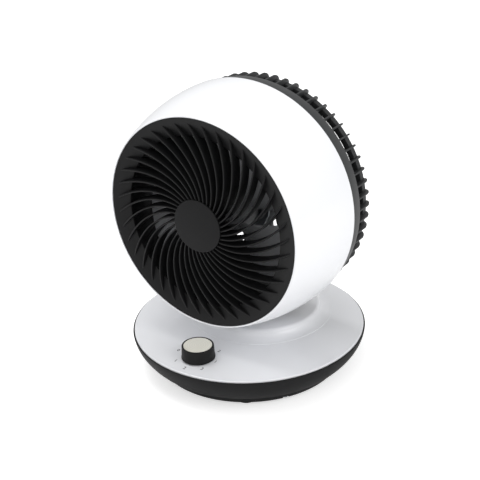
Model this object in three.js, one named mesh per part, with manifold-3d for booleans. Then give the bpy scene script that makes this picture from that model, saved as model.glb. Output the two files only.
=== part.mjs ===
// A free-standing air circulator fan: a white barrel head with a black spiral grille, carried on a low
// swivel pedestal over a round base with a rotary switch at its front.
//
// Millimetres, +Z up. The origin is on the table under the middle of the base, and the fan blows along -Y.
// The pieces of the head are made in the head's own frame: x to the right, y up, z forward along the
// blade's axis, with z = 0 at the head's middle.

import * as THREE from 'three';
import { mergeVertices } from 'three/addons/utils/BufferGeometryUtils.js';
import Module from 'manifold-3d';

const wasm = await Module();
wasm.setup();

// ---------------------------------------------------------------------------------------------------
// Driving dimensions
// ---------------------------------------------------------------------------------------------------

const GAP = 0.3; // between pieces that seat on each other
const RUN = 0.8; // between pieces that turn in each other
const WALL = 2.2; // moulded walls
const SCREW_SHANK = 1.5; // radius
const SCREW_HEAD = 3.0; // radius
const SCREW_HEAD_DEPTH = 1.8;
const SCREW_HOLE = SCREW_SHANK + GAP;

// Base
const RIM_HEIGHT = 40; // the white rim above the table
const BASE_RADIUS = 116.2; // outside of the black bowl
const BOWL_LIP = 1.2; // the dark line around the white dish
const BOWL_LIP_DEPTH = 3.4; // how deep the dish sits in the bowl
const BOWL_TURN = 15.7; // how far the bowl curves in before it turns under
const BOWL_CREASE_HEIGHT = 12;
const BOWL_FLANGE_WIDTH = 14.5; // of the bowl's flat underside
const TRAY_FLANK = 8.5; // how far the tray's foot lies inside the crease
const TRAY_STEP = 2.5; // tray set back under the crease
const FOOT_HEIGHT = 2.5; // how far the rubber feet lift the tray
const FOOT_RADIUS = 10.5;
const FOOT_INSET = 12; // the feet's centres inside the tray's foot
const FOOT_ANGLES = [31, 82, 139, 221, 278, 329]; // from the front, about the base's middle
const DECK_HEIGHT = 42; // the cover's flat middle above the table
const DECK_FALL = 30.2; // width of the cover's fall to its rim
const DECK_BEND = 14; // where that fall bends, inside the rim
const COVER_SEAT_WIDTH = 6; // how far in from the rim the cover is thick
const COVER_LIP_RADIUS = 0.9; // rounding of the white rim
const BALLAST_OUTER = 70;
const BALLAST_INNER = 46;
const BALLAST_THICKNESS = 5;
const INLET_HEIGHT = 20; // cable inlet at the back
const INLET_BORE = 3.2;
const INLET_BODY = 5;
const INLET_FLANGE = 6.6;
const INLET_BOSS = 7.8;
const INLET_SETBACK = 2.9; // flat face of the inlet boss inside the bowl's outside
const INLET_BOSS_LENGTH = 8;
const INLET_LENGTH = 12; // of the bush, inside that face
const BASE_SCREW_INSET = 5; // outside the flange's inner edge
const BASE_SCREW_ANGLES = [55, 125, 235, 305];

// Swivel pedestal
const SWING_Y = 23; // the swing axis lies this far behind the base's middle
const PEDESTAL_MARGIN = 15.2; // of the dish behind the pedestal's foot
const PEDESTAL_FLARE = 18; // how far the foot spreads
const PEDESTAL_WAIST = 48; // where the wall is steepest
const PEDESTAL_TOP = 51.2;
const PEDESTAL_SHOULDER = 5.5;
const SOCKET_RADIUS = 31; // recess that takes the turntable
const TURNTABLE_TOP = 48.4;
const TURNTABLE_THICKNESS = 3;
const TURNTABLE_RADIUS = SOCKET_RADIUS - RUN;
const SWING_SHAFT_RADIUS = 13.5;
const SWING_SHAFT_BORE = 8;
const SWING_SHAFT_END = 31.4;
const SLIDE_WASHER_THICKNESS = 1;
const NECK_WIDTH = 16;
const NECK_END_RADIUS = 7;
const NECK_FLANGE_RADIUS = 22;
const NECK_FLANGE_THICKNESS = 2.2;
const NECK_SCREW_OFFSET = 15.5;
const NECK_FOOT_SPREAD = 3; // of the upright over the flange

// Swing drive
const GEAR_TEETH = 25;
const PINION_TEETH = 10;
const GEAR_MODULE = 1.9;
const GEAR_THICKNESS = 6;
const GEAR_BOTTOM = 34;
const GEAR_BACKLASH = 0.5;
const SWING_MOTOR_RADIUS = 25;
const SWING_MOTOR_HEIGHT = 19;
const SWING_MOTOR_SHAFT = 3;
const SWING_MOTOR_GRIP = 8; // how far the spindle reaches into the motor
const MOTOR_ROOM = 2; // kept free around the motor
const MOTOR_POST = 15; // the post under the motor

// Rotary switch and its knob
const KNOB_INSET = 29.9; // its centre inside the bowl's outside
const KNOB_FOOT_RADIUS = 16.2;
const KNOB_TOP_RADIUS = 15.3;
const KNOB_HEIGHT = 12.8;
const KNOB_WALL = 1.6;
const KNOB_DISC_RADIUS = 13.7;
const KNOB_DISC_THICKNESS = 1.2;
const SWITCH_SHAFT_RADIUS = 3;
const SWITCH_SIDE = 27;
const SWITCH_HEIGHT = 15;
const SWITCH_BUSH_RADIUS = 5;

// Head shell
const HEAD_CLEARANCE = 6.7; // between the barrel and the pedestal's top
const SHELL_RADIUS = 116.1; // at its widest
const SHELL_WIDEST = 2; // forward of the head's middle
const SHELL_ARC = 198; // radius of the barrel's long curve
const SHELL_FRONT = 73.2;
const SHELL_REAR = -7.2;

// Front grille
const GRILLE_FACE = 72.9; // the grille's rim plane
const GRILLE_SKIRT_DEPTH = 14;
const FUNNEL_OVERLAP = 0.5; // how far the outer ring's inner edge covers the duct
const FUNNEL_DEPTH = 5; // how far that edge is sunk
const RIB_COUNT = 40;
const RIB_THICKNESS = 1.5;
const RIB_DEPTH = 10;
const RIB_END_INSET = 5.2; // where the ribs end, inside the grille's rim
const RIB_FIRST_ANGLE = 3.84; // degrees, at RIB_ANGLE_RADIUS
const RIB_ANGLE_RADIUS = 30;
const RIB_SWEEP = 0.693; // degrees for each millimetre outwards
const RIB_SWEEP_FALL = 0.002; // how the sweep eases outwards
const RIB_CROWN = 3; // the ribs' crown over the rim plane at the hub
const HUB_RADIUS = 24.4;
const HUB_COVER_RADIUS = 25.4;
const HUB_COVER_THICKNESS = 2;
const HUB_PROUD = 4; // the hub cover's face over the rim plane

// Air duct
const DUCT_RADIUS = 83.5; // bore
const DUCT_BOSS_RADIUS = 4.2;
const DUCT_BOSS_STEP = 2.8; // the bosses' centres outside the tube
const DUCT_BOSS_LENGTH = 14;
const HEAD_SCREW_ANGLES = [45, 135, 225, 315];

// Rear grille
const BAND_STEP = 0.9; // the band set back under the barrel's rear edge
const BAND_REAR = -23;
const BAND_TAPER = 2;
const SPIGOT_LENGTH = 11;
const FIN_COUNT = 60;
const FIN_THICKNESS = 1.6;
const FIN_DEPTH = 6.5; // along the axis, where they run over the back
const FIN_CORNER = 8.5; // their rounded outer corners, along the axis
const FIN_REAR = -49.5;
const OUTER_HOOP_INSET = 6; // inside the band's rear edge
const OUTER_HOOP_WIDTH = 6;
const INNER_HOOP_WIDTH = 4;
const HOOP_FRONT = -40;
const HOOP_REAR = -46;
const REAR_HUB_RADIUS = 36;
const REAR_HUB_THICKNESS = 3;

// Motor and blade
const MOTOR_RADIUS = 33;
const MOTOR_WALL = 1.6;
const MOTOR_LENGTH = 52;
const MOTOR_SHAFT_RADIUS = 4;
const BEARING_RADIUS = 8;
const STATOR_BORE = 17;
const ROTOR_RADIUS = 16.2;
const CORE_LENGTH = 30;
const CORE_SETBACK = 7; // the core in from the can's back
const MOTOR_COVER_THICKNESS = 2.4;
const MOTOR_SCREW_CIRCLE = 23;
const BLADE_COUNT = 5;
const BLADE_CLEARANCE = 3.5; // between the blades' tips and the duct
const BLADE_FRONT = 48;
const BLADE_BACK = 14;
const BLADE_THICKNESS = 2.2;
const BLADE_FIRST_ANGLE = 34; // of the first blade's root, degrees
const BLADE_WIDTH = 62; // degrees across at the root and the tip
const BLADE_SPREAD = 4; // degrees more halfway out
const BLADE_LEAN = 12; // degrees from the root to the tip
const BLADE_RAKE = 8; // how far the tip stands forward of the root
const BLADE_HUB_RADIUS = 26;
const BLADE_HUB_WALL = 2.4;
const BLADE_BORE_LENGTH = 26;
const SPINNER_RADIUS = 9;
const SPINNER_LENGTH = 10;
const SPINNER_NOSE = 7; // the part of the nut that is rounded

// Tilt hinge
const TILT_UNDER_DUCT = 15.3; // the tilt pin under the duct
const TILT_SETBACK = 6; // and in front of the swing axis
const TILT_LUG_RADIUS = 9;
const TILT_LUG_THICKNESS = 4;
const TILT_PLATE_THICKNESS = 4;
const TILT_PLATE_LENGTH = 34;
const TILT_PIN_RADIUS = 3;
const TILT_PIN_HEAD_RADIUS = 5.5;
const TILT_PIN_HEAD_LENGTH = 3;
const TILT_WASHER_THICKNESS = 0.7;
const TILT_SLOT_FRONT = 9.1; // the neck's slot in the rear band, in front of the pin and behind it
const TILT_SLOT_REAR = 13.5;
const TILT_SLOT_MARGIN = 1.4; // beside the pin's head and nut, and over them

// Facets around
const FACETS_LARGE = 36;
const FACETS_MEDIUM = 20;
const FACETS_SMALL = 12;
const FACETS_SCREW = 8;

// ---------------------------------------------------------------------------------------------------
// Finishes
// ---------------------------------------------------------------------------------------------------

const finish = (color, roughness, metalness = 0) => () =>
  new THREE.MeshStandardMaterial({ color, roughness, metalness });

const whiteGloss = finish('#f1f2f5', 0.16);
const blackMatt = finish('#2b2b2c', 0.5);
const blackSatin = finish('#2a2b2b', 0.38);
const darkGrey = finish('#4a4b4c', 0.5);
const bladeGrey = finish('#3a3b3d', 0.42);
const creamDisc = finish('#d2d0c8', 0.35, 0.25);
const rubber = finish('#1b1b1b', 0.9);
const steel = finish('#b9bcc0', 0.3, 1);
const zinc = finish('#9ba0a5', 0.42, 1);
const iron = finish('#55585b', 0.6, 0.9);
const copperIron = finish('#6b5a4d', 0.5, 0.6);
const nylon = finish('#d9d6cc', 0.55);

// ---------------------------------------------------------------------------------------------------
// Solids: made as three.js geometry, joined and cut as manifolds
// ---------------------------------------------------------------------------------------------------

const rad = THREE.MathUtils.degToRad;
const point = (x, y) => new THREE.Vector2(x, y);

/** The closed triangle mesh of a geometry, with its shared corners merged and its faces turned outwards. */
function closedMesh(geometry) {
  const bare = geometry.clone();
  bare.deleteAttribute('normal');
  bare.deleteAttribute('uv');
  const merged = mergeVertices(bare, 1e-4);
  const at = merged.attributes.position;
  const index = merged.index.array;
  const triangles = [];
  let volume = 0;
  const a = new THREE.Vector3();
  const b = new THREE.Vector3();
  const c = new THREE.Vector3();
  for (let i = 0; i < index.length; i += 3) {
    const [p, q, r] = [index[i], index[i + 1], index[i + 2]];
    if (p === q || q === r || r === p) continue;
    triangles.push([p, q, r]);
    a.fromBufferAttribute(at, p);
    b.fromBufferAttribute(at, q);
    c.fromBufferAttribute(at, r);
    volume += a.dot(b.cross(c));
  }
  const outwards = volume > 0 ? triangles : triangles.map(([p, q, r]) => [p, r, q]);
  return { vertices: new Float32Array(at.array), corners: new Uint32Array(outwards.flat()) };
}

/** A solid that can be joined and cut. */
function solid(geometry) {
  const { vertices, corners } = closedMesh(geometry);
  return new wasm.Manifold(new wasm.Mesh({ numProp: 3, vertProperties: vertices, triVerts: corners }));
}

const joined = (solids) => wasm.Manifold.union(solids);
const cut = (body, tools) => body.subtract(joined(tools));

/** A named mesh of one solid, in its own finish. */
function piece(name, shape, material) {
  const { vertProperties, triVerts, numProp } = shape.getMesh();
  const positions = new Float32Array((vertProperties.length / numProp) * 3);
  for (let v = 0; v < positions.length / 3; v += 1) {
    positions.set(vertProperties.subarray(v * numProp, v * numProp + 3), v * 3);
  }
  const geometry = new THREE.BufferGeometry();
  geometry.setAttribute('position', new THREE.BufferAttribute(positions, 3));
  geometry.setIndex(new THREE.BufferAttribute(new Uint32Array(triVerts), 1));
  geometry.computeVertexNormals();
  const mesh = new THREE.Mesh(geometry, material());
  mesh.name = name;
  return mesh;
}

const moved = (geometry, x, y, z) => geometry.translate(x, y, z);

/** A profile of [radius, height] points turned about the Z axis. It starts and ends on the axis or closes. */
function turned(profile, facets) {
  const points = profile.map((p) => (p.isVector2 ? p : point(...p)));
  const onAxis = points[0].x === 0 && points[points.length - 1].x === 0;
  if (!onAxis) points.push(points[0].clone());
  return new THREE.LatheGeometry(points, facets).rotateX(Math.PI / 2);
}

/** A round bar on the Z axis, or a tube where it has a bore. */
function bar(radius, bottom, top, facets, bore = 0) {
  const outline = [[bore, bottom], [radius, bottom], [radius, top], [bore, top]];
  return turned(outline, facets);
}

/** An outline in x and y, raised from one height to another. */
function raised(shape, bottom, top) {
  const depth = top - bottom;
  const geometry = new THREE.ExtrudeGeometry(shape, { depth, bevelEnabled: false, curveSegments: 8 });
  return geometry.translate(0, 0, bottom);
}

/** A box from its lowest to its highest corner. */
function block(low, high) {
  const size = high.map((v, i) => v - low[i]);
  const middle = high.map((v, i) => (v + low[i]) / 2);
  return new THREE.BoxGeometry(...size).translate(...middle);
}

/** A profile set in by a wall, along the mean of the normals on both sides of each point. */
function setIn(points, wall) {
  return points.map((p, i) => {
    const before = points[Math.max(i - 1, 0)];
    const after = points[Math.min(i + 1, points.length - 1)];
    const first = p.clone().sub(before).normalize();
    const second = after.clone().sub(p).normalize();
    const along = first.add(second).normalize();
    return point(p.x + along.y * wall, p.y - along.x * wall);
  });
}

/** Points on a curve through a start, a control point and an end. */
const swept = (start, control, end, steps) =>
  new THREE.QuadraticBezierCurve(point(...start), point(...control), point(...end)).getPoints(steps);

/** The same piece at each angle about the Z axis. */
const around = (angles, make) => angles.map((degrees) => make().rotateZ(rad(degrees)));

/** A screw standing on the Z axis, its head's underside at height zero and its shank upwards. */
function screw(length) {
  const profile = [
    [0, -SCREW_HEAD_DEPTH],
    [SCREW_HEAD, -SCREW_HEAD_DEPTH],
    [SCREW_HEAD, 0],
    [SCREW_SHANK, 0],
    [SCREW_SHANK, length],
    [0, length],
  ];
  return turned(profile, FACETS_SCREW);
}

// ---------------------------------------------------------------------------------------------------
// Base
// ---------------------------------------------------------------------------------------------------

const bowlLipTop = RIM_HEIGHT - GAP;
const coverSeat = RIM_HEIGHT - BOWL_LIP_DEPTH;
const coverUnder = DECK_HEIGHT - WALL - 0.8;
const trayTop = BOWL_CREASE_HEIGHT - GAP;
const trayFloor = FOOT_HEIGHT + WALL;
const bowlCrease = BASE_RADIUS - BOWL_TURN;
const bowlFlange = bowlCrease - BOWL_FLANGE_WIDTH;
const trayRadius = bowlCrease - TRAY_FLANK;
const footCircle = trayRadius - FOOT_INSET;
const baseScrewCircle = bowlFlange + BASE_SCREW_INSET;
const inletFace = BASE_RADIUS - INLET_SETBACK;
const frontwards = (degrees, radius) => [radius * Math.sin(rad(degrees)), -radius * Math.cos(rad(degrees))];

/** The black bowl: a lip round the dish, a flank that curves in to a crease, and a flat flange under it. */
function baseBowl() {
  const flank = swept(
    [BASE_RADIUS, RIM_HEIGHT - 2],
    [BASE_RADIUS - 1.4, (RIM_HEIGHT + BOWL_CREASE_HEIGHT) / 2 - 1],
    [bowlCrease, BOWL_CREASE_HEIGHT],
    4,
  );
  const inside = setIn(flank.slice(1, -1), WALL).filter((p) => p.y < coverSeat - 2);
  const seatRadius = BASE_RADIUS - WALL - BOWL_LIP;
  const flangeTop = BOWL_CREASE_HEIGHT + WALL;
  const profile = [
    [BASE_RADIUS - BOWL_LIP, bowlLipTop],
    [BASE_RADIUS - 0.3, bowlLipTop],
    ...flank,
    [bowlFlange, BOWL_CREASE_HEIGHT],
    [bowlFlange, flangeTop],
    [bowlCrease - WALL, flangeTop],
    ...inside.reverse().filter((p) => p.y > flangeTop + 1),
    [seatRadius, coverSeat - 1.5],
    [seatRadius, coverSeat],
    [BASE_RADIUS - BOWL_LIP, coverSeat],
  ];
  const bowl = solid(turned(profile, FACETS_LARGE));
  const boss = solid(atInlet(bar(INLET_BOSS, 0, inletFace, FACETS_SMALL)));
  const room = solid(bar(inletFace - INLET_BOSS_LENGTH, 0, RIM_HEIGHT, FACETS_LARGE));
  const hole = solid(atInlet(bar(INLET_BODY + GAP, bowlFlange, BASE_RADIUS + WALL, FACETS_SMALL)));
  const holes = [hole, motorRoom(), ...baseScrewBars(SCREW_HOLE, flangeTop + WALL)];
  return piece('base_bowl', cut(joined([bowl, boss.subtract(room)]), holes), blackMatt);
}

/** Turns a shape made on the Z axis to point backwards at the height of the cable inlet. */
const atInlet = (geometry) => geometry.rotateX(-Math.PI / 2).translate(0, 0, INLET_HEIGHT);

/** Bars from the table up at the places of the base's screws. */
function baseScrewBars(radius, top) {
  const places = BASE_SCREW_ANGLES.map((a) => frontwards(a, baseScrewCircle));
  return places.map((place) => solid(moved(bar(radius, 0, top, FACETS_SCREW), ...place, 0)));
}

/** The room kept free around the swing motor. */
function motorRoom() {
  const room = bar(SWING_MOTOR_RADIUS + MOTOR_ROOM, 0, RIM_HEIGHT, FACETS_MEDIUM);
  return solid(moved(room, 0, pinionY, 0));
}

/** The bottom tray, which closes the bowl from below and stands on the feet. */
function baseTray() {
  const shoulder = bowlCrease - TRAY_STEP;
  const profile = [
    [0, FOOT_HEIGHT],
    [trayRadius - 2, FOOT_HEIGHT],
    [trayRadius, FOOT_HEIGHT + 1],
    [shoulder, trayTop],
    [bowlFlange, trayTop],
    [bowlFlange, trayFloor],
    [0, trayFloor],
  ];
  const tray = solid(turned(profile, FACETS_LARGE));
  const post = bar(MOTOR_POST, trayFloor - 1, swingMotorBottom - GAP, FACETS_MEDIUM);
  const holes = [...baseScrewBars(SCREW_HOLE, trayTop + 1), ...baseScrewBars(SCREW_HEAD + GAP, screwSeat)];
  return piece('base_tray', cut(joined([tray, solid(moved(post, 0, pinionY, 0))]), holes), blackMatt);
}

const screwSeat = FOOT_HEIGHT + SCREW_HEAD_DEPTH + 1.2;

/** A rubber foot: a flat pad stuck under the tray. */
function foot(index) {
  const profile = [
    [0, 0],
    [FOOT_RADIUS - 1, 0],
    [FOOT_RADIUS, FOOT_HEIGHT - GAP],
    [0, FOOT_HEIGHT - GAP],
  ];
  const mesh = piece(`rubber_foot_${index + 1}`, solid(turned(profile, FACETS_SMALL)), rubber);
  const [x, y] = frontwards(FOOT_ANGLES[index], footCircle);
  mesh.position.set(x, y, 0);
  return mesh;
}

/** A screw through the tray into the bowl's flange. */
function baseScrew(index) {
  const length = BOWL_CREASE_HEIGHT + WALL - screwSeat - 0.5;
  const mesh = piece(`base_screw_${index + 1}`, solid(screw(length)), zinc);
  const [x, y] = frontwards(BASE_SCREW_ANGLES[index], baseScrewCircle);
  mesh.position.set(x, y, screwSeat - GAP);
  return mesh;
}

/** The iron ring that weights the base. */
function ballast() {
  const bottom = trayFloor + GAP;
  const ring = solid(bar(BALLAST_OUTER, bottom, bottom + BALLAST_THICKNESS, FACETS_MEDIUM, BALLAST_INNER));
  return piece('ballast_ring', cut(ring, [motorRoom()]), iron);
}

/** The bush in the back of the bowl through which the mains lead enters. */
function cableInlet() {
  const profile = [
    [INLET_BORE, inletFace - INLET_LENGTH],
    [INLET_BODY, inletFace - INLET_LENGTH],
    [INLET_BODY, inletFace + GAP],
    [INLET_FLANGE, inletFace + GAP],
    [INLET_FLANGE, inletFace + 1.4],
    [INLET_FLANGE - 1.2, inletFace + 2.4],
    [INLET_BORE + 0.8, inletFace + 2.4],
    [INLET_BORE, inletFace + 1.4],
  ];
  const mesh = piece('cable_inlet', solid(turned(profile, FACETS_SMALL)), rubber);
  mesh.rotation.x = -Math.PI / 2;
  mesh.position.z = INLET_HEIGHT;
  return mesh;
}

// ---------------------------------------------------------------------------------------------------
// Cover with its pedestal
// ---------------------------------------------------------------------------------------------------

const deckRadius = BASE_RADIUS - DECK_FALL;
const pedestalFoot = BASE_RADIUS - SWING_Y - PEDESTAL_MARGIN;
const pedestalRadius = pedestalFoot - PEDESTAL_FLARE;
const socketFloor = TURNTABLE_TOP - TURNTABLE_THICKNESS - SLIDE_WASHER_THICKNESS - 2 * GAP;

/** The white cover: a rounded rim and a surface that rises gently to a flat middle. */
function coverPlate() {
  const edge = BASE_RADIUS - BOWL_LIP - GAP;
  const lip = [edge - COVER_LIP_RADIUS, RIM_HEIGHT + 0.2];
  const dome = swept(lip, [edge - DECK_BEND, DECK_HEIGHT - 0.1], [deckRadius, DECK_HEIGHT], 3);
  const profile = [
    [0, coverUnder],
    [edge - DECK_BEND, coverUnder],
    [edge - COVER_SEAT_WIDTH, RIM_HEIGHT - WALL],
    [edge - COVER_SEAT_WIDTH / 2, coverSeat + GAP],
    [edge, coverSeat + GAP],
    [edge, RIM_HEIGHT - COVER_LIP_RADIUS],
    [edge - COVER_LIP_RADIUS * 0.35, RIM_HEIGHT - 0.1],
    ...dome,
    [0, DECK_HEIGHT],
  ];
  return solid(turned(profile, FACETS_LARGE));
}

/** The pedestal's outer surface from its flare on the dish to the edge of its flat top. */
function pedestalOutside() {
  const foot = [pedestalFoot, DECK_HEIGHT - 0.1];
  const waist = [pedestalRadius, PEDESTAL_WAIST];
  const shoulder = [pedestalRadius - PEDESTAL_SHOULDER, PEDESTAL_TOP];
  const flare = swept(foot, [pedestalRadius + 3, DECK_HEIGHT + 0.6], waist, 3);
  const rounding = swept(waist, [pedestalRadius - 0.6, PEDESTAL_TOP], shoulder, 2);
  return [...flare, ...rounding.slice(1)];
}

/** A solid made on the Z axis, set over the swing axis. */
const atSwing = (geometry) => solid(moved(geometry, 0, SWING_Y, 0));

/** The cover with its pedestal: the socket of the turntable in its top, and the switch's hole in front. */
function baseCover() {
  const outside = pedestalOutside();
  const under = coverUnder;
  const foot = [[0, under + 0.1], [pedestalFoot, under + 0.1]];
  const pedestal = atSwing(turned([...foot, ...outside, [0, PEDESTAL_TOP]], FACETS_LARGE));
  const inside = setIn(outside, -WALL).filter((p) => p.y > under - 1 && p.y < PEDESTAL_TOP - WALL);
  const mouth = [[0, under - 5], [inside[0].x, under - 5]];
  const room = atSwing(turned([...mouth, ...inside, [0, PEDESTAL_TOP - WALL]], FACETS_LARGE));
  const shaftHole = SWING_SHAFT_RADIUS + RUN;
  const wallFoot = socketFloor - WALL;
  const socketWall = atSwing(bar(SOCKET_RADIUS + WALL, wallFoot, PEDESTAL_TOP, FACETS_MEDIUM, shaftHole));
  const socketRoom = atSwing(bar(SOCKET_RADIUS, socketFloor, PEDESTAL_TOP + 1, FACETS_MEDIUM));
  const shaftRoom = atSwing(bar(shaftHole, 0, PEDESTAL_TOP + 1, FACETS_MEDIUM));
  const knobHole = solid(moved(bar(SWITCH_BUSH_RADIUS + GAP, 0, DECK_HEIGHT + 1, FACETS_SMALL), 0, knobY, 0));
  const hollow = joined([coverPlate(), pedestal]).subtract(room);
  const holes = [socketRoom, shaftRoom, knobHole];
  return piece('base_cover', cut(joined([hollow, socketWall]), holes), whiteGloss);
}

// ---------------------------------------------------------------------------------------------------
// Rotary switch
// ---------------------------------------------------------------------------------------------------

const knobY = KNOB_INSET - BASE_RADIUS;
const switchTop = coverUnder - GAP;
const knobBottom = DECK_HEIGHT + 0.6;
const knobTop = knobBottom + KNOB_HEIGHT;

/** The switch's case under the dish, with the threaded bush that comes up through it. */
function rotarySwitch() {
  const half = SWITCH_SIDE / 2;
  const bottom = switchTop - SWITCH_HEIGHT;
  const body = block([-half, knobY - half, bottom], [half, knobY + half, switchTop]);
  const bush = moved(bar(SWITCH_BUSH_RADIUS, switchTop - 1, DECK_HEIGHT + 0.3, FACETS_SMALL), 0, knobY, 0);
  const bore = moved(bar(SWITCH_SHAFT_RADIUS + GAP, bottom + 3, DECK_HEIGHT + 5, FACETS_SMALL), 0, knobY, 0);
  return piece('rotary_switch', cut(joined([solid(body), solid(bush)]), [solid(bore)]), blackSatin);
}

/** The switch's spindle, which the knob turns. */
function switchSpindle() {
  const bottom = switchTop - SWITCH_HEIGHT + 3 + GAP;
  const spindle = bar(SWITCH_SHAFT_RADIUS, bottom, knobTop - 4, FACETS_SMALL);
  return piece('switch_spindle', solid(moved(spindle, 0, knobY, 0)), steel);
}

/** The black knob: a cup with a boss over the spindle, and a seat for the disc in its top. */
function knob() {
  const seat = knobTop - KNOB_DISC_THICKNESS - GAP;
  const outside = [
    [0, seat],
    [KNOB_DISC_RADIUS + GAP, seat],
    [KNOB_DISC_RADIUS + GAP, knobTop],
    [KNOB_TOP_RADIUS - 0.4, knobTop],
    [KNOB_TOP_RADIUS, knobTop - 0.6],
    [KNOB_FOOT_RADIUS - 0.5, knobBottom + 1.4],
    [KNOB_FOOT_RADIUS, knobBottom],
    [KNOB_FOOT_RADIUS - KNOB_WALL, knobBottom],
    [KNOB_TOP_RADIUS - KNOB_WALL, seat - KNOB_WALL],
    [SWITCH_SHAFT_RADIUS + 2.5, seat - KNOB_WALL],
    [SWITCH_SHAFT_RADIUS + 2.5, knobBottom + 1],
    [0, knobBottom + 1],
  ];
  const bore = moved(bar(SWITCH_SHAFT_RADIUS + GAP, 0, knobTop - 4 + GAP, FACETS_SMALL), 0, knobY, 0);
  const body = moved(turned(outside, FACETS_MEDIUM), 0, knobY, 0);
  return piece('knob', cut(solid(body), [solid(bore)]), blackMatt);
}

/** The pale disc let into the knob, with the notch that points at the setting. */
function knobDisc() {
  const top = knobTop + 0.4;
  const bottom = top - KNOB_DISC_THICKNESS;
  const edge = [[KNOB_DISC_RADIUS, bottom], [KNOB_DISC_RADIUS, top - 0.3], [KNOB_DISC_RADIUS - 0.4, top]];
  const disc = turned([[0, bottom], ...edge, [0, top]], FACETS_MEDIUM);
  const notch = block([-0.7, KNOB_DISC_RADIUS - 5, top - 0.4], [0.7, KNOB_DISC_RADIUS + 1, top + 1]);
  const parts = [disc, notch].map((geometry) => solid(moved(geometry, 0, knobY, 0)));
  return piece('knob_disc', parts[0].subtract(parts[1]), creamDisc);
}

// ---------------------------------------------------------------------------------------------------
// Swing drive and turntable
// ---------------------------------------------------------------------------------------------------

const gearPitch = (GEAR_TEETH * GEAR_MODULE) / 2;
const pinionPitch = (PINION_TEETH * GEAR_MODULE) / 2;
const pinionY = SWING_Y + gearPitch + pinionPitch;
const gearTop = GEAR_BOTTOM + GEAR_THICKNESS;
const swingMotorTop = GEAR_BOTTOM - 3;
const swingMotorBottom = swingMotorTop - SWING_MOTOR_HEIGHT;

/** A spur gear's outline, its first tooth on the x axis. */
function gearOutline(teeth, pitch) {
  const tip = pitch + GEAR_MODULE * 0.85;
  const root = pitch - GEAR_MODULE * 1.15;
  const tooth = Math.PI / teeth; // half of one pitch, as an angle
  const slack = GEAR_BACKLASH / pitch / 2;
  const shape = new THREE.Shape();
  for (let i = 0; i < teeth; i += 1) {
    const middle = i * 2 * tooth;
    const corners = [
      [root, -tooth * 0.76 + slack],
      [tip, -tooth * 0.28 + slack],
      [tip, tooth * 0.28 - slack],
      [root, tooth * 0.76 - slack],
    ];
    corners.forEach(([radius, angle], n) => {
      const [x, y] = [radius * Math.cos(middle + angle), radius * Math.sin(middle + angle)];
      if (i === 0 && n === 0) shape.moveTo(x, y);
      else shape.lineTo(x, y);
    });
  }
  shape.closePath();
  return shape;
}

/** The gear on the turntable's shaft, with a tooth pointing at the pinion. */
function swingGear() {
  const wheel = raised(gearOutline(GEAR_TEETH, gearPitch), GEAR_BOTTOM, gearTop).rotateZ(Math.PI / 2);
  const bore = bar(SWING_SHAFT_RADIUS + GAP, 0, gearTop + 1, FACETS_MEDIUM);
  return piece('swing_gear', cut(solid(wheel), [solid(bore)]), nylon);
}

/** The pinion on the swing motor, with a gap between two teeth facing the gear. */
function swingPinion() {
  const turn = -Math.PI / 2 + Math.PI / PINION_TEETH;
  const wheel = raised(gearOutline(PINION_TEETH, pinionPitch), GEAR_BOTTOM, gearTop).rotateZ(turn);
  const bore = bar(SWING_MOTOR_SHAFT + GAP, 0, gearTop + 1, FACETS_SMALL);
  const mesh = piece('swing_pinion', cut(solid(wheel), [solid(bore)]), nylon);
  mesh.position.y = gearPitch + pinionPitch;
  return mesh;
}

/** The swing motor: a flat round can. */
function swingMotor() {
  const profile = [
    [0, swingMotorBottom],
    [SWING_MOTOR_RADIUS, swingMotorBottom],
    [SWING_MOTOR_RADIUS, swingMotorTop - 1],
    [SWING_MOTOR_RADIUS - 1, swingMotorTop],
    [6, swingMotorTop],
    [6, swingMotorTop + 1.6],
    [0, swingMotorTop + 1.6],
  ];
  const well = bar(SWING_MOTOR_SHAFT + GAP, swingMotorTop - SWING_MOTOR_GRIP, gearTop, FACETS_SMALL);
  const mesh = piece('swing_motor', cut(solid(turned(profile, FACETS_MEDIUM)), [solid(well)]), zinc);
  mesh.position.y = gearPitch + pinionPitch;
  return mesh;
}

/** The swing motor's spindle, which carries the pinion. */
function swingSpindle() {
  const spindle = bar(SWING_MOTOR_SHAFT, swingMotorTop - SWING_MOTOR_GRIP + GAP, gearTop + 1, FACETS_SMALL);
  const mesh = piece('swing_spindle', solid(spindle), steel);
  mesh.position.y = gearPitch + pinionPitch;
  return mesh;
}

/** The slide washer under the turntable. */
function slideWasher() {
  const bottom = socketFloor + GAP;
  const top = bottom + SLIDE_WASHER_THICKNESS;
  const washer = bar(SOCKET_RADIUS - 3, bottom, top, FACETS_MEDIUM, SWING_SHAFT_RADIUS + 2);
  return piece('slide_washer', solid(washer), nylon);
}

const turntableBottom = TURNTABLE_TOP - TURNTABLE_THICKNESS;

/** The holes of the neck's screws, through the turntable and the neck's flange. */
const neckScrewHoles = () =>
  [-NECK_SCREW_OFFSET, NECK_SCREW_OFFSET].map((x) =>
    solid(moved(bar(SCREW_HOLE, 0, neckFlangeTop + 1, FACETS_SCREW), x, 0, 0)),
  );

/** The turntable: a disc in the pedestal's top on a hollow shaft. */
function turntable() {
  const profile = [
    [SWING_SHAFT_BORE, SWING_SHAFT_END],
    [SWING_SHAFT_RADIUS, SWING_SHAFT_END],
    [SWING_SHAFT_RADIUS, turntableBottom],
    [TURNTABLE_RADIUS, turntableBottom],
    [TURNTABLE_RADIUS, TURNTABLE_TOP - 0.8],
    [TURNTABLE_RADIUS - 0.8, TURNTABLE_TOP],
    [SWING_SHAFT_BORE, TURNTABLE_TOP],
  ];
  return piece('turntable', cut(solid(turned(profile, FACETS_MEDIUM)), neckScrewHoles()), blackSatin);
}

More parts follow.
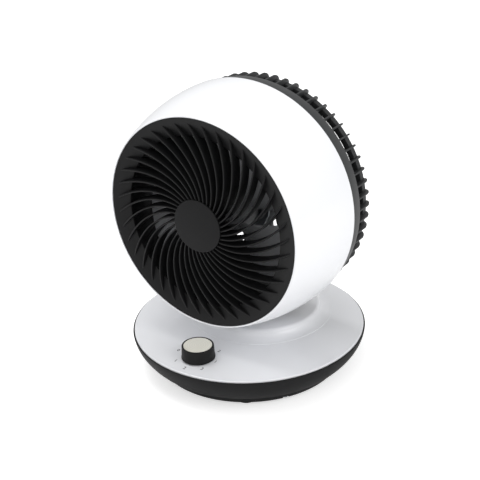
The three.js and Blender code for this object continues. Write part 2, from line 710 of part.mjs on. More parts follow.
/** The ring that keeps the gear on the turntable's shaft. */
function shaftRing() {
  const top = GEAR_BOTTOM - GAP;
  const ring = bar(SWING_SHAFT_RADIUS + 4, top - 2, top, FACETS_MEDIUM, SWING_SHAFT_RADIUS + GAP);
  return piece('shaft_ring', solid(ring), steel);
}

const neckBottom = TURNTABLE_TOP + GAP;
const neckFlangeTop = neckBottom + NECK_FLANGE_THICKNESS;
const headHeight = PEDESTAL_TOP + HEAD_CLEARANCE + SHELL_RADIUS;
const tiltDrop = DUCT_RADIUS + WALL + TILT_UNDER_DUCT;
const tiltHeight = headHeight - tiltDrop;

/** The neck: a flange on the turntable and an upright with a round end about the tilt pin. */
function neck() {
  const upright = new THREE.Shape();
  upright.moveTo(-NECK_END_RADIUS - NECK_FOOT_SPREAD, neckBottom + 1);
  upright.lineTo(NECK_END_RADIUS + NECK_FOOT_SPREAD, neckBottom + 1);
  upright.lineTo(NECK_END_RADIUS, neckFlangeTop + NECK_FOOT_SPREAD);
  upright.lineTo(NECK_END_RADIUS, tiltHeight);
  upright.absarc(0, tiltHeight, NECK_END_RADIUS, 0, Math.PI, false);
  upright.lineTo(-NECK_END_RADIUS, neckFlangeTop + NECK_FOOT_SPREAD);
  upright.closePath();
  const plate = raised(upright, -NECK_WIDTH / 2, NECK_WIDTH / 2).rotateX(Math.PI / 2).rotateZ(Math.PI / 2);
  const flange = bar(NECK_FLANGE_RADIUS, neckBottom, neckFlangeTop, FACETS_MEDIUM);
  const eye = bar(TILT_PIN_RADIUS + GAP, -NECK_WIDTH, NECK_WIDTH, FACETS_SMALL).rotateY(Math.PI / 2);
  const shape = joined([solid(moved(plate, 0, -TILT_SETBACK, 0)), solid(flange)]);
  const holes = [solid(moved(eye, 0, -TILT_SETBACK, tiltHeight)), ...neckScrewHoles()];
  return piece('neck', cut(shape, holes), blackSatin);
}

/** A screw down through the neck's flange into the turntable. */
function neckScrew(index) {
  const shape = screw(NECK_FLANGE_THICKNESS + TURNTABLE_THICKNESS).rotateX(Math.PI);
  const mesh = piece(`neck_screw_${index + 1}`, solid(shape), zinc);
  mesh.position.set((index * 2 - 1) * NECK_SCREW_OFFSET, 0, neckFlangeTop + GAP);
  return mesh;
}

// ---------------------------------------------------------------------------------------------------
// Head shell and front grille
// ---------------------------------------------------------------------------------------------------

/** The barrel's outside radius at a place along the blade's axis. */
const barrel = (forward) =>
  SHELL_RADIUS - SHELL_ARC + Math.sqrt(SHELL_ARC ** 2 - (forward - SHELL_WIDEST) ** 2);

const lipRadius = barrel(GRILLE_FACE);
const grilleRadius = lipRadius - WALL + 0.4;
const funnelRadius = DUCT_RADIUS - FUNNEL_OVERLAP;
const ribEnd = grilleRadius - RIB_END_INSET;

/** The white barrel, open at both ends, with a thinned lip round the grille. */
function outerShell() {
  const steps = 4;
  const outside = Array.from({ length: steps + 1 }, (_, i) => {
    const forward = SHELL_REAR + ((SHELL_FRONT - 0.8 - SHELL_REAR) * i) / steps;
    return point(barrel(forward), forward);
  });
  const inside = outside.slice(0, -2).map((p) => point(p.x - WALL, p.y));
  const profile = [
    ...outside,
    [barrel(SHELL_FRONT) - 0.5, SHELL_FRONT],
    [grilleRadius + GAP, SHELL_FRONT],
    [grilleRadius + GAP, GRILLE_FACE - GRILLE_SKIRT_DEPTH - 1],
    ...inside.reverse().filter((p) => p.y < GRILLE_FACE - GRILLE_SKIRT_DEPTH - 2),
  ];
  return piece('outer_shell', solid(turned(profile, FACETS_LARGE)), whiteGloss);
}

const hubFront = GRILLE_FACE + HUB_PROUD - HUB_COVER_THICKNESS - GAP;

/** The rib's angle in degrees at a radius. */
const ribAngle = (radius) => {
  const out = radius - RIB_ANGLE_RADIUS;
  return RIB_FIRST_ANGLE + RIB_SWEEP * out - RIB_SWEEP_FALL * out * out;
};

/** The front edge of the ribs: a low crown that falls to the outer ring. */
function ribFront(radius) {
  const share = (radius - HUB_RADIUS) / (ribEnd - HUB_RADIUS);
  const crown = RIB_CROWN * (1 - share ** 2) - 1.6 * share ** 6;
  return GRILLE_FACE + crown;
}

/** The outer ring's sunk surface. */
const funnelFace = (radius) =>
  GRILLE_FACE - (FUNNEL_DEPTH * (grilleRadius - radius)) / (grilleRadius - funnelRadius);

/** One rib: a thin upright wall that follows the spiral from the hub out over the outer ring. */
function rib() {
  const atHub = HUB_COVER_RADIUS + GAP;
  const [near, far] = [atHub + 3, funnelRadius - 0.6];
  const between = [1, 2].map((part) => near + ((far - near) * part) / 3);
  const stations = [HUB_RADIUS - 2, atHub, near, ...between, far, funnelRadius + 0.4, ribEnd];
  const steps = stations.length - 1;
  const positions = [];
  for (const radius of stations) {
    const angle = rad(ribAngle(radius));
    const half = RIB_THICKNESS / 2 / radius / Math.cos(Math.atan(rad(RIB_SWEEP) * radius));
    const front = radius > atHub ? ribFront(radius) : hubFront - 0.1;
    const back = radius > funnelRadius ? funnelFace(radius) - 1 : GRILLE_FACE - RIB_DEPTH;
    for (const [side, height] of [[-1, back], [1, back], [1, front], [-1, front]]) {
      const turn = angle + side * half;
      positions.push(radius * Math.cos(turn), radius * Math.sin(turn), height);
    }
  }
  const index = [0, 2, 1, 0, 3, 2];
  for (let i = 0; i < steps; i += 1) {
    for (let k = 0; k < 4; k += 1) {
      const a = i * 4 + k;
      const b = i * 4 + ((k + 1) % 4);
      index.push(a, b, b + 4, a, b + 4, a + 4);
    }
  }
  const last = steps * 4;
  index.push(last, last + 1, last + 2, last, last + 2, last + 3);
  const geometry = new THREE.BufferGeometry();
  geometry.setAttribute('position', new THREE.Float32BufferAttribute(positions, 3));
  geometry.setIndex(index);
  return geometry;
}

/** The front grille: an outer ring with a skirt in the shell, forty spiral ribs and a hub. */
function frontGrille() {
  const skirtBack = GRILLE_FACE - GRILLE_SKIRT_DEPTH;
  const ring = solid(
    turned(
      [
        [grilleRadius, GRILLE_FACE],
        [funnelRadius, GRILLE_FACE - FUNNEL_DEPTH],
        [funnelRadius, GRILLE_FACE - FUNNEL_DEPTH - WALL],
        [grilleRadius - WALL, GRILLE_FACE - WALL],
        [grilleRadius - WALL, skirtBack],
        [grilleRadius, skirtBack],
      ],
      FACETS_LARGE,
    ),
  );
  const hubBack = GRILLE_FACE - RIB_DEPTH;
  const hubOutside = [[0, hubFront], [HUB_RADIUS, hubFront], [HUB_RADIUS, hubBack]];
  const hubBore = HUB_RADIUS - WALL;
  const hubInside = [[hubBore, hubBack], [hubBore, hubFront - WALL], [0, hubFront - WALL]];
  const hub = solid(turned([...hubOutside, ...hubInside], FACETS_MEDIUM));
  const angles = Array.from({ length: RIB_COUNT }, (_, i) => (i * 360) / RIB_COUNT);
  const ribs = around(angles, rib).map(solid);
  return piece('front_grille', joined([ring, hub, ...ribs]), blackSatin);
}

/** The plain round cover on the grille's hub. */
function hubCover() {
  const front = GRILLE_FACE + HUB_PROUD;
  const back = front - HUB_COVER_THICKNESS;
  const radius = HUB_COVER_RADIUS;
  const profile = [[0, back], [radius - 0.4, back], [radius, front - 0.9], [radius - 0.9, front], [0, front]];
  return piece('hub_cover', solid(turned(profile, FACETS_MEDIUM)), blackMatt);
}

// ---------------------------------------------------------------------------------------------------
// Air duct and rear grille
// ---------------------------------------------------------------------------------------------------

const ductOutside = DUCT_RADIUS + WALL;
const ductBossCircle = ductOutside + DUCT_BOSS_STEP;
const ductFront = GRILLE_FACE - FUNNEL_DEPTH - WALL - GAP;
const ductRear = HOOP_FRONT + GAP;
const atAngle = (geometry, degrees, radius) => geometry.translate(radius, 0, 0).rotateZ(rad(degrees));

/** The tube that the blade turns in, with a boss for each of the rear screws. */
function airDuct() {
  const tube = solid(bar(ductOutside, ductRear, ductFront, FACETS_LARGE, DUCT_RADIUS));
  const bossTop = ductRear + DUCT_BOSS_LENGTH;
  const bosses = atHeadScrews(() => bar(DUCT_BOSS_RADIUS, ductRear, bossTop, FACETS_SMALL), ductBossCircle);
  const bores = atHeadScrews(() => bar(SCREW_HOLE, ductRear - 1, bossTop - 3, FACETS_SCREW), ductBossCircle);
  const inner = solid(bar(DUCT_RADIUS, ductRear - 1, ductFront + 1, FACETS_LARGE));
  return piece('air_duct', cut(joined([tube, ...bosses]), [inner, ...bores, ...bracketHoles()]), blackMatt);
}

/** The same shape at each of the head's screw angles on a circle. */
const atHeadScrews = (make, circle) => HEAD_SCREW_ANGLES.map((a) => solid(atAngle(make(), a, circle)));

/** The holes of the bracket's screws, through its plate and the duct's wall. */
const bracketHoles = () =>
  [-1, 1].map((side) => {
    const hole = bar(SCREW_HOLE, tiltPlateBottom - 1, -DUCT_RADIUS + WALL, FACETS_SCREW);
    return solid(moved(hole.rotateX(-Math.PI / 2), 0, 0, tiltForward + side * tiltScrewOffset));
  });

/** The outline of a fin in radius and forward distance: back from the band, round a corner and inwards. */
function finOutline(innerEnd) {
  const front = FIN_REAR + FIN_DEPTH;
  const root = BAND_REAR + 2;
  const outside = bandRearRadius - WALL / 2;
  const cornerTop = [outside, FIN_REAR + FIN_CORNER];
  const corner = swept(cornerTop, [outside - 1.5, FIN_REAR], [outside - FIN_CORNER, FIN_REAR], 2);
  return new THREE.Shape([
    point(outerHoop - 1.5, root),
    point(outside, root),
    ...corner,
    point(innerEnd, FIN_REAR),
    point(innerEnd, front),
    point(outerHoop - 1.5, front),
  ]);
}

/** A flat fin standing in the plane of the axis, on the x side. */
function fin(innerEnd) {
  const plate = raised(finOutline(innerEnd), -FIN_THICKNESS / 2, FIN_THICKNESS / 2);
  return plate.rotateX(Math.PI / 2);
}

const rearHubRear = FIN_REAR + 1.5;
const rearHubFront = rearHubRear + REAR_HUB_THICKNESS;
const bandFront = SHELL_REAR - GAP;
const bandRadius = barrel(SHELL_REAR) - BAND_STEP;
const bandRearRadius = bandRadius - BAND_TAPER;
const spigotRadius = barrel(SHELL_REAR) - WALL - GAP;
const outerHoop = bandRearRadius - OUTER_HOOP_INSET;
const innerHoop = ductOutside - 1.7;

/** The rear grille: a band flush with the shell, hoops, radial fins and the plate that the motor is on. */
function rearGrille() {
  const band = turned(
    [
      [bandRadius, bandFront],
      [bandRadius - 0.2, (bandFront + BAND_REAR) / 2 + 3],
      [bandRearRadius, BAND_REAR],
      [bandRearRadius - WALL, BAND_REAR],
      [spigotRadius - WALL, bandFront - 2],
      [spigotRadius - WALL, bandFront + SPIGOT_LENGTH],
      [spigotRadius, bandFront + SPIGOT_LENGTH],
      [spigotRadius, bandFront],
    ],
    FACETS_LARGE,
  );
  const hoop = (radius, width) => bar(radius, HOOP_REAR, HOOP_FRONT, FIN_COUNT / 2, radius - width);
  const hoops = [hoop(outerHoop, OUTER_HOOP_WIDTH), hoop(innerHoop, INNER_HOOP_WIDTH)];
  const plate = bar(REAR_HUB_RADIUS, rearHubRear, rearHubFront, FACETS_MEDIUM);
  const pad = () => bar(DUCT_BOSS_RADIUS + 1, HOOP_REAR, HOOP_FRONT, FACETS_SMALL);
  const pitch = 360 / FIN_COUNT;
  const everySecond = (first) => Array.from({ length: FIN_COUNT / 2 }, (_, i) => (2 * i + first) * pitch);
  const longFins = around(everySecond(1), () => fin(REAR_HUB_RADIUS - 1));
  const shortFins = around(everySecond(0), () => fin(outerHoop - OUTER_HOOP_WIDTH));
  const pads = atHeadScrews(pad, ductBossCircle);
  const whole = [...[band, ...hoops, plate, ...longFins, ...shortFins].map(solid), ...pads];
  const headRoom = () => bar(SCREW_HEAD + 1, FIN_REAR - 1, HOOP_REAR, FACETS_SCREW);
  const screwHole = () => bar(SCREW_HOLE, FIN_REAR, HOOP_FRONT + 1, FACETS_SCREW);
  const rooms = [tiltSlot(), ...atHeadScrews(headRoom, ductBossCircle)];
  const holes = [...atHeadScrews(screwHole, ductBossCircle), ...atHeadScrews(screwHole, MOTOR_SCREW_CIRCLE)];
  return piece('rear_grille', cut(joined(whole), [...rooms, ...holes]), darkGrey);
}

/** The slot for the neck through the band's lowest part, over the whole range of the tilt. */
function tiltSlot() {
  const foot = -SHELL_RADIUS - 1;
  const top = TILT_PIN_HEAD_RADIUS + TILT_SLOT_MARGIN - tiltDrop;
  const half = pinHalf + TILT_SLOT_MARGIN;
  return solid(block([-half, foot, tiltForward - TILT_SLOT_REAR], [half, top, tiltForward + TILT_SLOT_FRONT]));
}

/** A screw from behind through the rear grille into a boss of the duct. */
function headScrew(index) {
  const length = HOOP_FRONT - HOOP_REAR + DUCT_BOSS_LENGTH - 5;
  const mesh = piece(`grille_screw_${index + 1}`, solid(screw(length)), zinc);
  const angle = rad(HEAD_SCREW_ANGLES[index]);
  mesh.position.set(ductBossCircle * Math.cos(angle), ductBossCircle * Math.sin(angle), HOOP_REAR - GAP);
  return mesh;
}

// ---------------------------------------------------------------------------------------------------
// Motor and blade
// ---------------------------------------------------------------------------------------------------

const motorRear = rearHubFront + GAP;
const motorFront = motorRear + MOTOR_LENGTH;
const shaftFront = BLADE_FRONT + 2 + SPINNER_LENGTH - 4;
const coreRear = motorRear + CORE_SETBACK;
const coreFront = coreRear + CORE_LENGTH;
const motorBore = MOTOR_RADIUS - MOTOR_WALL;

/** The motor's can: a cup with the rear bearing's seat. */
function motorCan() {
  const profile = [
    [0, motorRear],
    [MOTOR_RADIUS - 1, motorRear],
    [MOTOR_RADIUS, motorRear + 1],
    [MOTOR_RADIUS, motorFront - MOTOR_COVER_THICKNESS - GAP],
    [motorBore, motorFront - MOTOR_COVER_THICKNESS - GAP],
    [motorBore, coreRear - GAP],
    [motorBore - 2, coreRear - GAP],
    [motorBore - 2, motorRear + MOTOR_WALL],
    [BEARING_RADIUS + GAP + 1.6, motorRear + MOTOR_WALL],
    [BEARING_RADIUS + GAP + 1.6, motorRear + MOTOR_WALL + 4],
    [BEARING_RADIUS + GAP, motorRear + MOTOR_WALL + 4],
    [BEARING_RADIUS + GAP, motorRear + MOTOR_WALL],
    [0, motorRear + MOTOR_WALL],
  ];
  const hole = () => bar(SCREW_HOLE, motorRear - 1, motorRear + 4, FACETS_SCREW);
  const can = solid(turned(profile, FACETS_MEDIUM));
  return piece('motor_can', cut(can, atHeadScrews(hole, MOTOR_SCREW_CIRCLE)), iron);
}

/** The motor's front cover with the front bearing's seat. */
function motorCover() {
  const back = motorFront - MOTOR_COVER_THICKNESS;
  const profile = [
    [BEARING_RADIUS + GAP, back - 3],
    [BEARING_RADIUS + GAP + 1.8, back - 3],
    [BEARING_RADIUS + GAP + 1.8, back],
    [MOTOR_RADIUS, back],
    [MOTOR_RADIUS, motorFront - 0.8],
    [MOTOR_RADIUS - 0.8, motorFront],
    [BEARING_RADIUS + GAP, motorFront],
  ];
  return piece('motor_cover', solid(turned(profile, FACETS_MEDIUM)), zinc);
}

/** A plain bearing bush about the motor's shaft. */
const bearing = (name, rear, length) =>
  piece(name, solid(bar(BEARING_RADIUS, rear, rear + length, FACETS_SMALL, MOTOR_SHAFT_RADIUS + GAP)), steel);

/** The ring of laminations and winding that stands in the can. */
const stator = () =>
  piece('stator', solid(bar(motorBore - GAP, coreRear, coreFront, FACETS_MEDIUM, STATOR_BORE)), copperIron);

/** The core that turns inside the stator. */
function rotorCore() {
  const core = bar(ROTOR_RADIUS, coreRear, coreFront, FACETS_MEDIUM, MOTOR_SHAFT_RADIUS + GAP);
  return piece('rotor_core', solid(core), iron);
}

/** The shaft that carries the rotor core, the blade and its nut. */
function motorShaft() {
  const shaft = bar(MOTOR_SHAFT_RADIUS, motorRear + MOTOR_WALL + GAP, shaftFront, FACETS_SMALL);
  return piece('motor_shaft', solid(shaft), steel);
}

/** A screw from behind through the rear grille's plate into the motor's can. */
function motorScrew(index) {
  const mesh = piece(`motor_screw_${index + 1}`, solid(screw(REAR_HUB_THICKNESS + 4)), zinc);
  const angle = rad(HEAD_SCREW_ANGLES[index]);
  const [x, y] = [Math.cos(angle), Math.sin(angle)].map((part) => part * MOTOR_SCREW_CIRCLE);
  mesh.position.set(x, y, rearHubRear - GAP);
  return mesh;
}

/** A point on a blade's middle surface: across from the leading to the trailing edge, and out to the tip. */
function bladePoint(across, out) {
  const root = BLADE_HUB_RADIUS - 1.5;
  const radius = root + (DUCT_RADIUS - BLADE_CLEARANCE - root) * out;
  const width = rad(BLADE_WIDTH + BLADE_SPREAD * Math.sin(Math.PI * out));
  const lean = rad(BLADE_LEAN) * out;
  const angle = lean + width * (across - 0.5);
  const rise = (BLADE_FRONT - BLADE_BACK) * (0.82 - 0.3 * out);
  const belly = 3 * Math.sin(Math.PI * across);
  const height = (BLADE_FRONT + BLADE_BACK) / 2 + BLADE_RAKE * out + rise * (across - 0.5) + belly;
  return [radius * Math.cos(angle), radius * Math.sin(angle), height];
}

/** One blade: a curved sheet with an even thickness along the axis. */
function blade() {
  const across = 6;
  const out = 3;
  const positions = [];
  for (const side of [-0.5, 0.5]) {
    for (let j = 0; j <= out; j += 1) {
      for (let i = 0; i <= across; i += 1) {
        const [x, y, z] = bladePoint(i / across, j / out);
        positions.push(x, y, z + side * BLADE_THICKNESS);
      }
    }
  }
  const row = across + 1;
  const top = row * (out + 1);
  const index = [];
  const quad = (a, b, c, d) => index.push(a, b, c, a, c, d);
  for (let j = 0; j < out; j += 1) {
    for (let i = 0; i < across; i += 1) {
      const a = j * row + i;
      quad(a, a + 1, a + 1 + row, a + row);
      quad(top + a, top + a + row, top + a + 1 + row, top + a + 1);
    }
    const left = j * row;
    const right = left + across;
    quad(left, left + row, top + left + row, top + left);
    quad(right, top + right, top + right + row, right + row);
  }
  for (let i = 0; i < across; i += 1) {
    const far = out * row + i;
    quad(i, top + i, top + i + 1, i + 1);
    quad(far, far + 1, top + far + 1, top + far);
  }
  const geometry = new THREE.BufferGeometry();
  geometry.setAttribute('position', new THREE.Float32BufferAttribute(positions, 3));
  geometry.setIndex(index);
  return geometry;
}

/** The blade: a cup-shaped hub on the shaft with five curved blades. */
function fanBlade() {
  const nose = BLADE_FRONT + 1.6;
  const sleeve = MOTOR_SHAFT_RADIUS + 3.5;
  const profile = [
    [MOTOR_SHAFT_RADIUS + GAP, nose],
    [BLADE_HUB_RADIUS - 4, nose],
    [BLADE_HUB_RADIUS - 1, nose - 1.6],
    [BLADE_HUB_RADIUS, nose - 5],
    [BLADE_HUB_RADIUS, BLADE_BACK],
    [BLADE_HUB_RADIUS - BLADE_HUB_WALL, BLADE_BACK],
    [BLADE_HUB_RADIUS - BLADE_HUB_WALL, nose - 2.8],
    [sleeve, nose - 2.8],
    [sleeve, nose - BLADE_BORE_LENGTH],
    [MOTOR_SHAFT_RADIUS + GAP, nose - BLADE_BORE_LENGTH],
  ];
  const hub = solid(turned(profile, FACETS_MEDIUM));
  const angles = Array.from({ length: BLADE_COUNT }, (_, i) => BLADE_FIRST_ANGLE + (i * 360) / BLADE_COUNT);
  const room = solid(bar(BLADE_HUB_RADIUS - BLADE_HUB_WALL, 0, nose - 2.8, FACETS_MEDIUM));
  const blades = joined(around(angles, blade).map(solid)).subtract(room);
  return piece('fan_blade', joined([hub, blades]), bladeGrey);
}

/** The nut that holds the blade on the shaft. */
function spinner() {
  const back = BLADE_FRONT + 1.6 + GAP;
  const front = back + SPINNER_LENGTH;
  const nose = [[0, front], [SPINNER_RADIUS * 0.55, front - 1], [SPINNER_RADIUS * 0.9, front - 4]];
  const profile = [...nose, [SPINNER_RADIUS, front - SPINNER_NOSE], [SPINNER_RADIUS, back], [0, back]];
  const thread = bar(MOTOR_SHAFT_RADIUS + GAP, 0, shaftFront + GAP, FACETS_SMALL);
  return piece('spinner_nut', cut(solid(turned(profile, FACETS_MEDIUM)), [solid(thread)]), blackMatt);
}

// ---------------------------------------------------------------------------------------------------
// Tilt hinge, in the head's frame
// ---------------------------------------------------------------------------------------------------

const tiltForward = TILT_SETBACK - SWING_Y;
const tiltPlateBottom = -ductOutside - TILT_PLATE_THICKNESS - GAP;
const tiltScrewOffset = TILT_PLATE_LENGTH / 2 - 4.5;
const lugInside = NECK_WIDTH / 2 + TILT_WASHER_THICKNESS + 2 * GAP;
const lugOutside = lugInside + TILT_LUG_THICKNESS;
const pinHalf = lugOutside + GAP + TILT_PIN_HEAD_LENGTH;

/** The bracket under the duct: a plate against the tube and two lugs down to the pin. */
function tiltBracket() {
  const plateTop = -ductOutside + 2;
  const half = TILT_PLATE_LENGTH / 2;
  const low = [-lugOutside, tiltPlateBottom, tiltForward - half];
  const plate = solid(block(low, [lugOutside, plateTop, tiltForward + half]));
  const lugTop = tiltDrop + tiltPlateBottom + 1;
  const lugShape = new THREE.Shape();
  lugShape.moveTo(-TILT_LUG_RADIUS, 0);
  lugShape.absarc(0, 0, TILT_LUG_RADIUS, Math.PI, 2 * Math.PI, false);
  lugShape.lineTo(TILT_LUG_RADIUS + 2, lugTop);
  lugShape.lineTo(-TILT_LUG_RADIUS - 2, lugTop);
  lugShape.closePath();
  const lug = () => raised(lugShape, 0, TILT_LUG_THICKNESS).rotateY(Math.PI / 2);
  const lugs = [-lugOutside, lugInside].map((x) => solid(moved(lug(), x, -tiltDrop, tiltForward)));
  const tubeEnds = [tiltForward - TILT_PLATE_LENGTH, tiltForward + TILT_PLATE_LENGTH];
  const tube = solid(bar(ductOutside + GAP, ...tubeEnds, FACETS_LARGE));
  const eye = bar(TILT_PIN_RADIUS + GAP, -2 * lugOutside, 2 * lugOutside, FACETS_SMALL).rotateY(Math.PI / 2);
  const holes = [tube, solid(moved(eye, 0, -tiltDrop, tiltForward)), ...bracketHoles()];
  return piece('tilt_bracket', cut(joined([plate, ...lugs]), holes), zinc);
}

/** The tilt pin: a round bar with a head. */
function tiltPin() {
  const headStart = lugOutside + GAP;
  const profile = [
    [0, -pinHalf],
    [TILT_PIN_RADIUS, -pinHalf],
    [TILT_PIN_RADIUS, headStart],
    [TILT_PIN_HEAD_RADIUS, headStart],
    [TILT_PIN_HEAD_RADIUS, pinHalf - 0.8],
    [TILT_PIN_HEAD_RADIUS - 1, pinHalf],
    [0, pinHalf],
  ];
  const mesh = piece('tilt_pin', solid(turned(profile, FACETS_SMALL)), steel);
  return atTilt(mesh, 0);
}

/** A friction washer between the neck and a lug. */
function tiltWasher(side) {
  const name = side < 0 ? 'tilt_washer_left' : 'tilt_washer_right';
  const half = TILT_WASHER_THICKNESS / 2;
  const washer = bar(TILT_LUG_RADIUS - 1, -half, half, FACETS_SMALL, TILT_PIN_RADIUS + GAP);
  const offset = NECK_WIDTH / 2 + GAP + half;
  return atTilt(piece(name, solid(washer), nylon), side * offset);
}

/** The six-sided nut on the pin's end. */
function tiltNut() {
  const length = TILT_PIN_HEAD_LENGTH - 0.6;
  const nut = bar(TILT_PIN_HEAD_RADIUS, -length / 2, length / 2, 6);
  const bore = bar(TILT_PIN_RADIUS + GAP, -length, length, FACETS_SMALL);
  return atTilt(piece('tilt_nut', cut(solid(nut), [solid(bore)]), steel), -(lugOutside + GAP + length / 2));
}

/** Places a piece made on the Z axis onto the tilt axis. */
function atTilt(mesh, sideways) {
  mesh.rotation.y = Math.PI / 2;
  mesh.position.set(sideways, -tiltDrop, tiltForward);
  return mesh;
}

/** A screw up through the bracket's plate into the duct. */
function bracketScrew(index) {
  const mesh = piece(`bracket_screw_${index + 1}`, solid(screw(TILT_PLATE_THICKNESS + WALL + GAP)), zinc);
  mesh.rotation.x = -Math.PI / 2;
  mesh.position.set(0, tiltPlateBottom - GAP, tiltForward + (index * 2 - 1) * tiltScrewOffset);
  return mesh;
}

// ---------------------------------------------------------------------------------------------------
// Assembly
// ---------------------------------------------------------------------------------------------------

const count = (array) => array.map((_, i) => i);

const base = new THREE.Group();
base.add(baseBowl(), baseTray(), baseCover(), ballast(), cableInlet(), rotarySwitch());
base.add(...count(FOOT_ANGLES).map(foot), ...count(BASE_SCREW_ANGLES).map(baseScrew));

const control = new THREE.Group();
control.add(switchSpindle(), knob(), knobDisc());

const swivel = new THREE.Group();
swivel.position.y = SWING_Y;
swivel.add(swingMotor(), swingSpindle(), swingPinion(), swingGear(), shaftRing());
swivel.add(slideWasher(), turntable(), neck(), neckScrew(0), neckScrew(1));

const head = new THREE.Group();
head.position.z = headHeight;
head.rotation.x = Math.PI / 2;
head.add(outerShell(), frontGrille(), hubCover(), airDuct(), rearGrille());
head.add(...count(HEAD_SCREW_ANGLES).map(headScrew), ...count(HEAD_SCREW_ANGLES).map(motorScrew));
head.add(motorCan(), motorCover(), stator(), rotorCore(), motorShaft(), fanBlade(), spinner());
head.add(bearing('rear_bearing', motorRear + MOTOR_WALL + GAP, 3.4));
head.add(bearing('front_bearing', motorFront - 5, 4.6));
head.add(tiltBracket(), tiltPin(), tiltNut(), tiltWasher(-1), tiltWasher(1));
head.add(bracketScrew(0), bracketScrew(1));

const fan = new THREE.Group();
fan.add(base, control, swivel, head);

export default fan;
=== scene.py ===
"""Table air circulator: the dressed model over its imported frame, laid out as an add-on and run as a script.

Shapes are drawn in millimetres and brought to metres when a piece is finished. The head's pieces are drawn
in the head's own frame, x right, y up and z forward along the blade's axis, and then set in place.
"""

from math import cos, pi, radians, sin, sqrt

import bmesh
import bpy
from bpy.props import FloatProperty, FloatVectorProperty, PointerProperty
from bpy.types import Operator, Panel, PropertyGroup
from mathutils import Matrix, Vector


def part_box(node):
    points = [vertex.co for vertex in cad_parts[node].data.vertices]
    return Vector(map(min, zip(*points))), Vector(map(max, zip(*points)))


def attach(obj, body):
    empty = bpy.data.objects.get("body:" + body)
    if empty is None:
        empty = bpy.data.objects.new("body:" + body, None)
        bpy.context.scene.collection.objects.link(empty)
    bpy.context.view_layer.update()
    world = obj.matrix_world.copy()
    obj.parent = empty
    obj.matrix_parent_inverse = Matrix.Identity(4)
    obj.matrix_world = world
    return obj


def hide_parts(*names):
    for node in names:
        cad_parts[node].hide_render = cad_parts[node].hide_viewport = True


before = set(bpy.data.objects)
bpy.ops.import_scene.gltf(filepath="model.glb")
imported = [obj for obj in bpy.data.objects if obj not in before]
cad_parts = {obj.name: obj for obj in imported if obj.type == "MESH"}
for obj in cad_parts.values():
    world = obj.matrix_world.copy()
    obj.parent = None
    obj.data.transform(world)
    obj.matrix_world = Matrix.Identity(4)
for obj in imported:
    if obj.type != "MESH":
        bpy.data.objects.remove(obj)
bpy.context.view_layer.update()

bl_info = {
    "name": "Table air circulator",
    "version": (1, 0, 0),
    "blender": (4, 5, 0),
    "location": "3D View > Sidebar > Fan",
    "description": "Builds the visible pieces, finishes and studio of a table air circulator",
    "category": "Object",
}

# ---- Sizes in millimetres, and angles in degrees, that more than one shape uses ----

GAP = 0.3  # between pieces that just clear each other
WALL = 2.2  # thickness of a moulded wall
FINE, MEDIUM, SMALL = 144, 72, 36  # steps round a large, a middling and a small turned piece

# Base: radii and heights, and places on circles counted in degrees from the front.
BOWL_FOOT, BOWL_MOUTH, BOWL_BOTTOM = 100.5, 86, 12
COVER_INSET, COVER_FLAT = 1.5, 86
INLET_Z, INLET_FACE = 20, 113.3
FOOT_CIRCLE, FOOT_ANGLES = 80, (31, 82, 139, 221, 278, 329)
TRAY_SCREW_CIRCLE, TRAY_SCREW_ANGLES = 91, (55, 125, 235, 305)
PEDESTAL_FOOT, PEDESTAL_RADIUS, PEDESTAL_TOP = 71.5, 60, 51.2
SOCKET_RADIUS, SOCKET_FLOOR = 31, 43.8

# Swivel and tilt hinge.
SHAFT_RADIUS = 13.5
TURNTABLE_BOTTOM, TURNTABLE_TOP = 45.4, 48.4
TILT_Y, TILT_Z = 17, 73
NECK_HALF, NECK_ROUND = 8, 7

# Head: radii, and places along the blade's axis.
DUCT_RADIUS = 83.5
GRILLE_RADIUS, GRILLE_FACE = 101.17, 72.9
FUNNEL_RADIUS, FUNNEL_FACE = 83, 67.9
HUB_RADIUS, HUB_FRONT, HUB_BACK = 24.4, 74.6, 62.9
FIN_FRONT, FIN_REAR = -43, -49.5
HOOP_FRONT, HOOP_REAR = -40, -46
HEAD_SCREW_ANGLES = (45, 135, 225, 315)
GRILLE_SCREW_CIRCLE, MOTOR_SCREW_CIRCLE = 88.5, 23


def mm(metres):
    """A length property's value in millimetres."""
    return metres * 1000


# ---- Finishes ----


def linear(code):
    """An sRGB hex colour as linear red, green, blue and alpha."""

    def channel(value):
        return value / 12.92 if value <= 0.04045 else ((value + 0.055) / 1.055) ** 2.4

    return tuple(channel(int(code[i : i + 2], 16) / 255) for i in (1, 3, 5)) + (1.0,)


def dimmed(shade, share):
    """A linear colour at a share of its strength."""
    return tuple(c * share for c in shade[:3]) + (1.0,)


def add_node(tree, kind, inputs=None, **settings):
    """A node with its settings; each input takes a value or another node's output."""
    node = tree.nodes.new(kind)
    for key, value in settings.items():
        setattr(node, key, value)
    for socket, value in (inputs or {}).items():
        if isinstance(value, bpy.types.NodeSocket):
            tree.links.new(value, node.inputs[socket])
        else:
            node.inputs[socket].default_value = value
    return node


def new_finish(name):
    """An empty material, its node tree and the output for the object's own coordinates."""
    material = bpy.data.materials.new(name)
    material.use_nodes = True
    tree = material.node_tree
    tree.nodes.clear()
    place = add_node(tree, "ShaderNodeTexCoord").outputs["Object"]
    return material, tree, place


def dress(tree, pattern, shade, share, inputs):
    """Ends a material: the pattern fades its colour to a share, and the shader takes the other inputs."""
    tone = add_node(
        tree,
        "ShaderNodeMix",
        {"Factor": pattern, "A": shade, "B": dimmed(shade, share)},
        data_type="RGBA",
    )
    shader = add_node(tree, "ShaderNodeBsdfPrincipled", {"Base Color": tone.outputs["Result"], **inputs})
    add_node(tree, "ShaderNodeOutputMaterial", {"Surface": shader.outputs[0]})


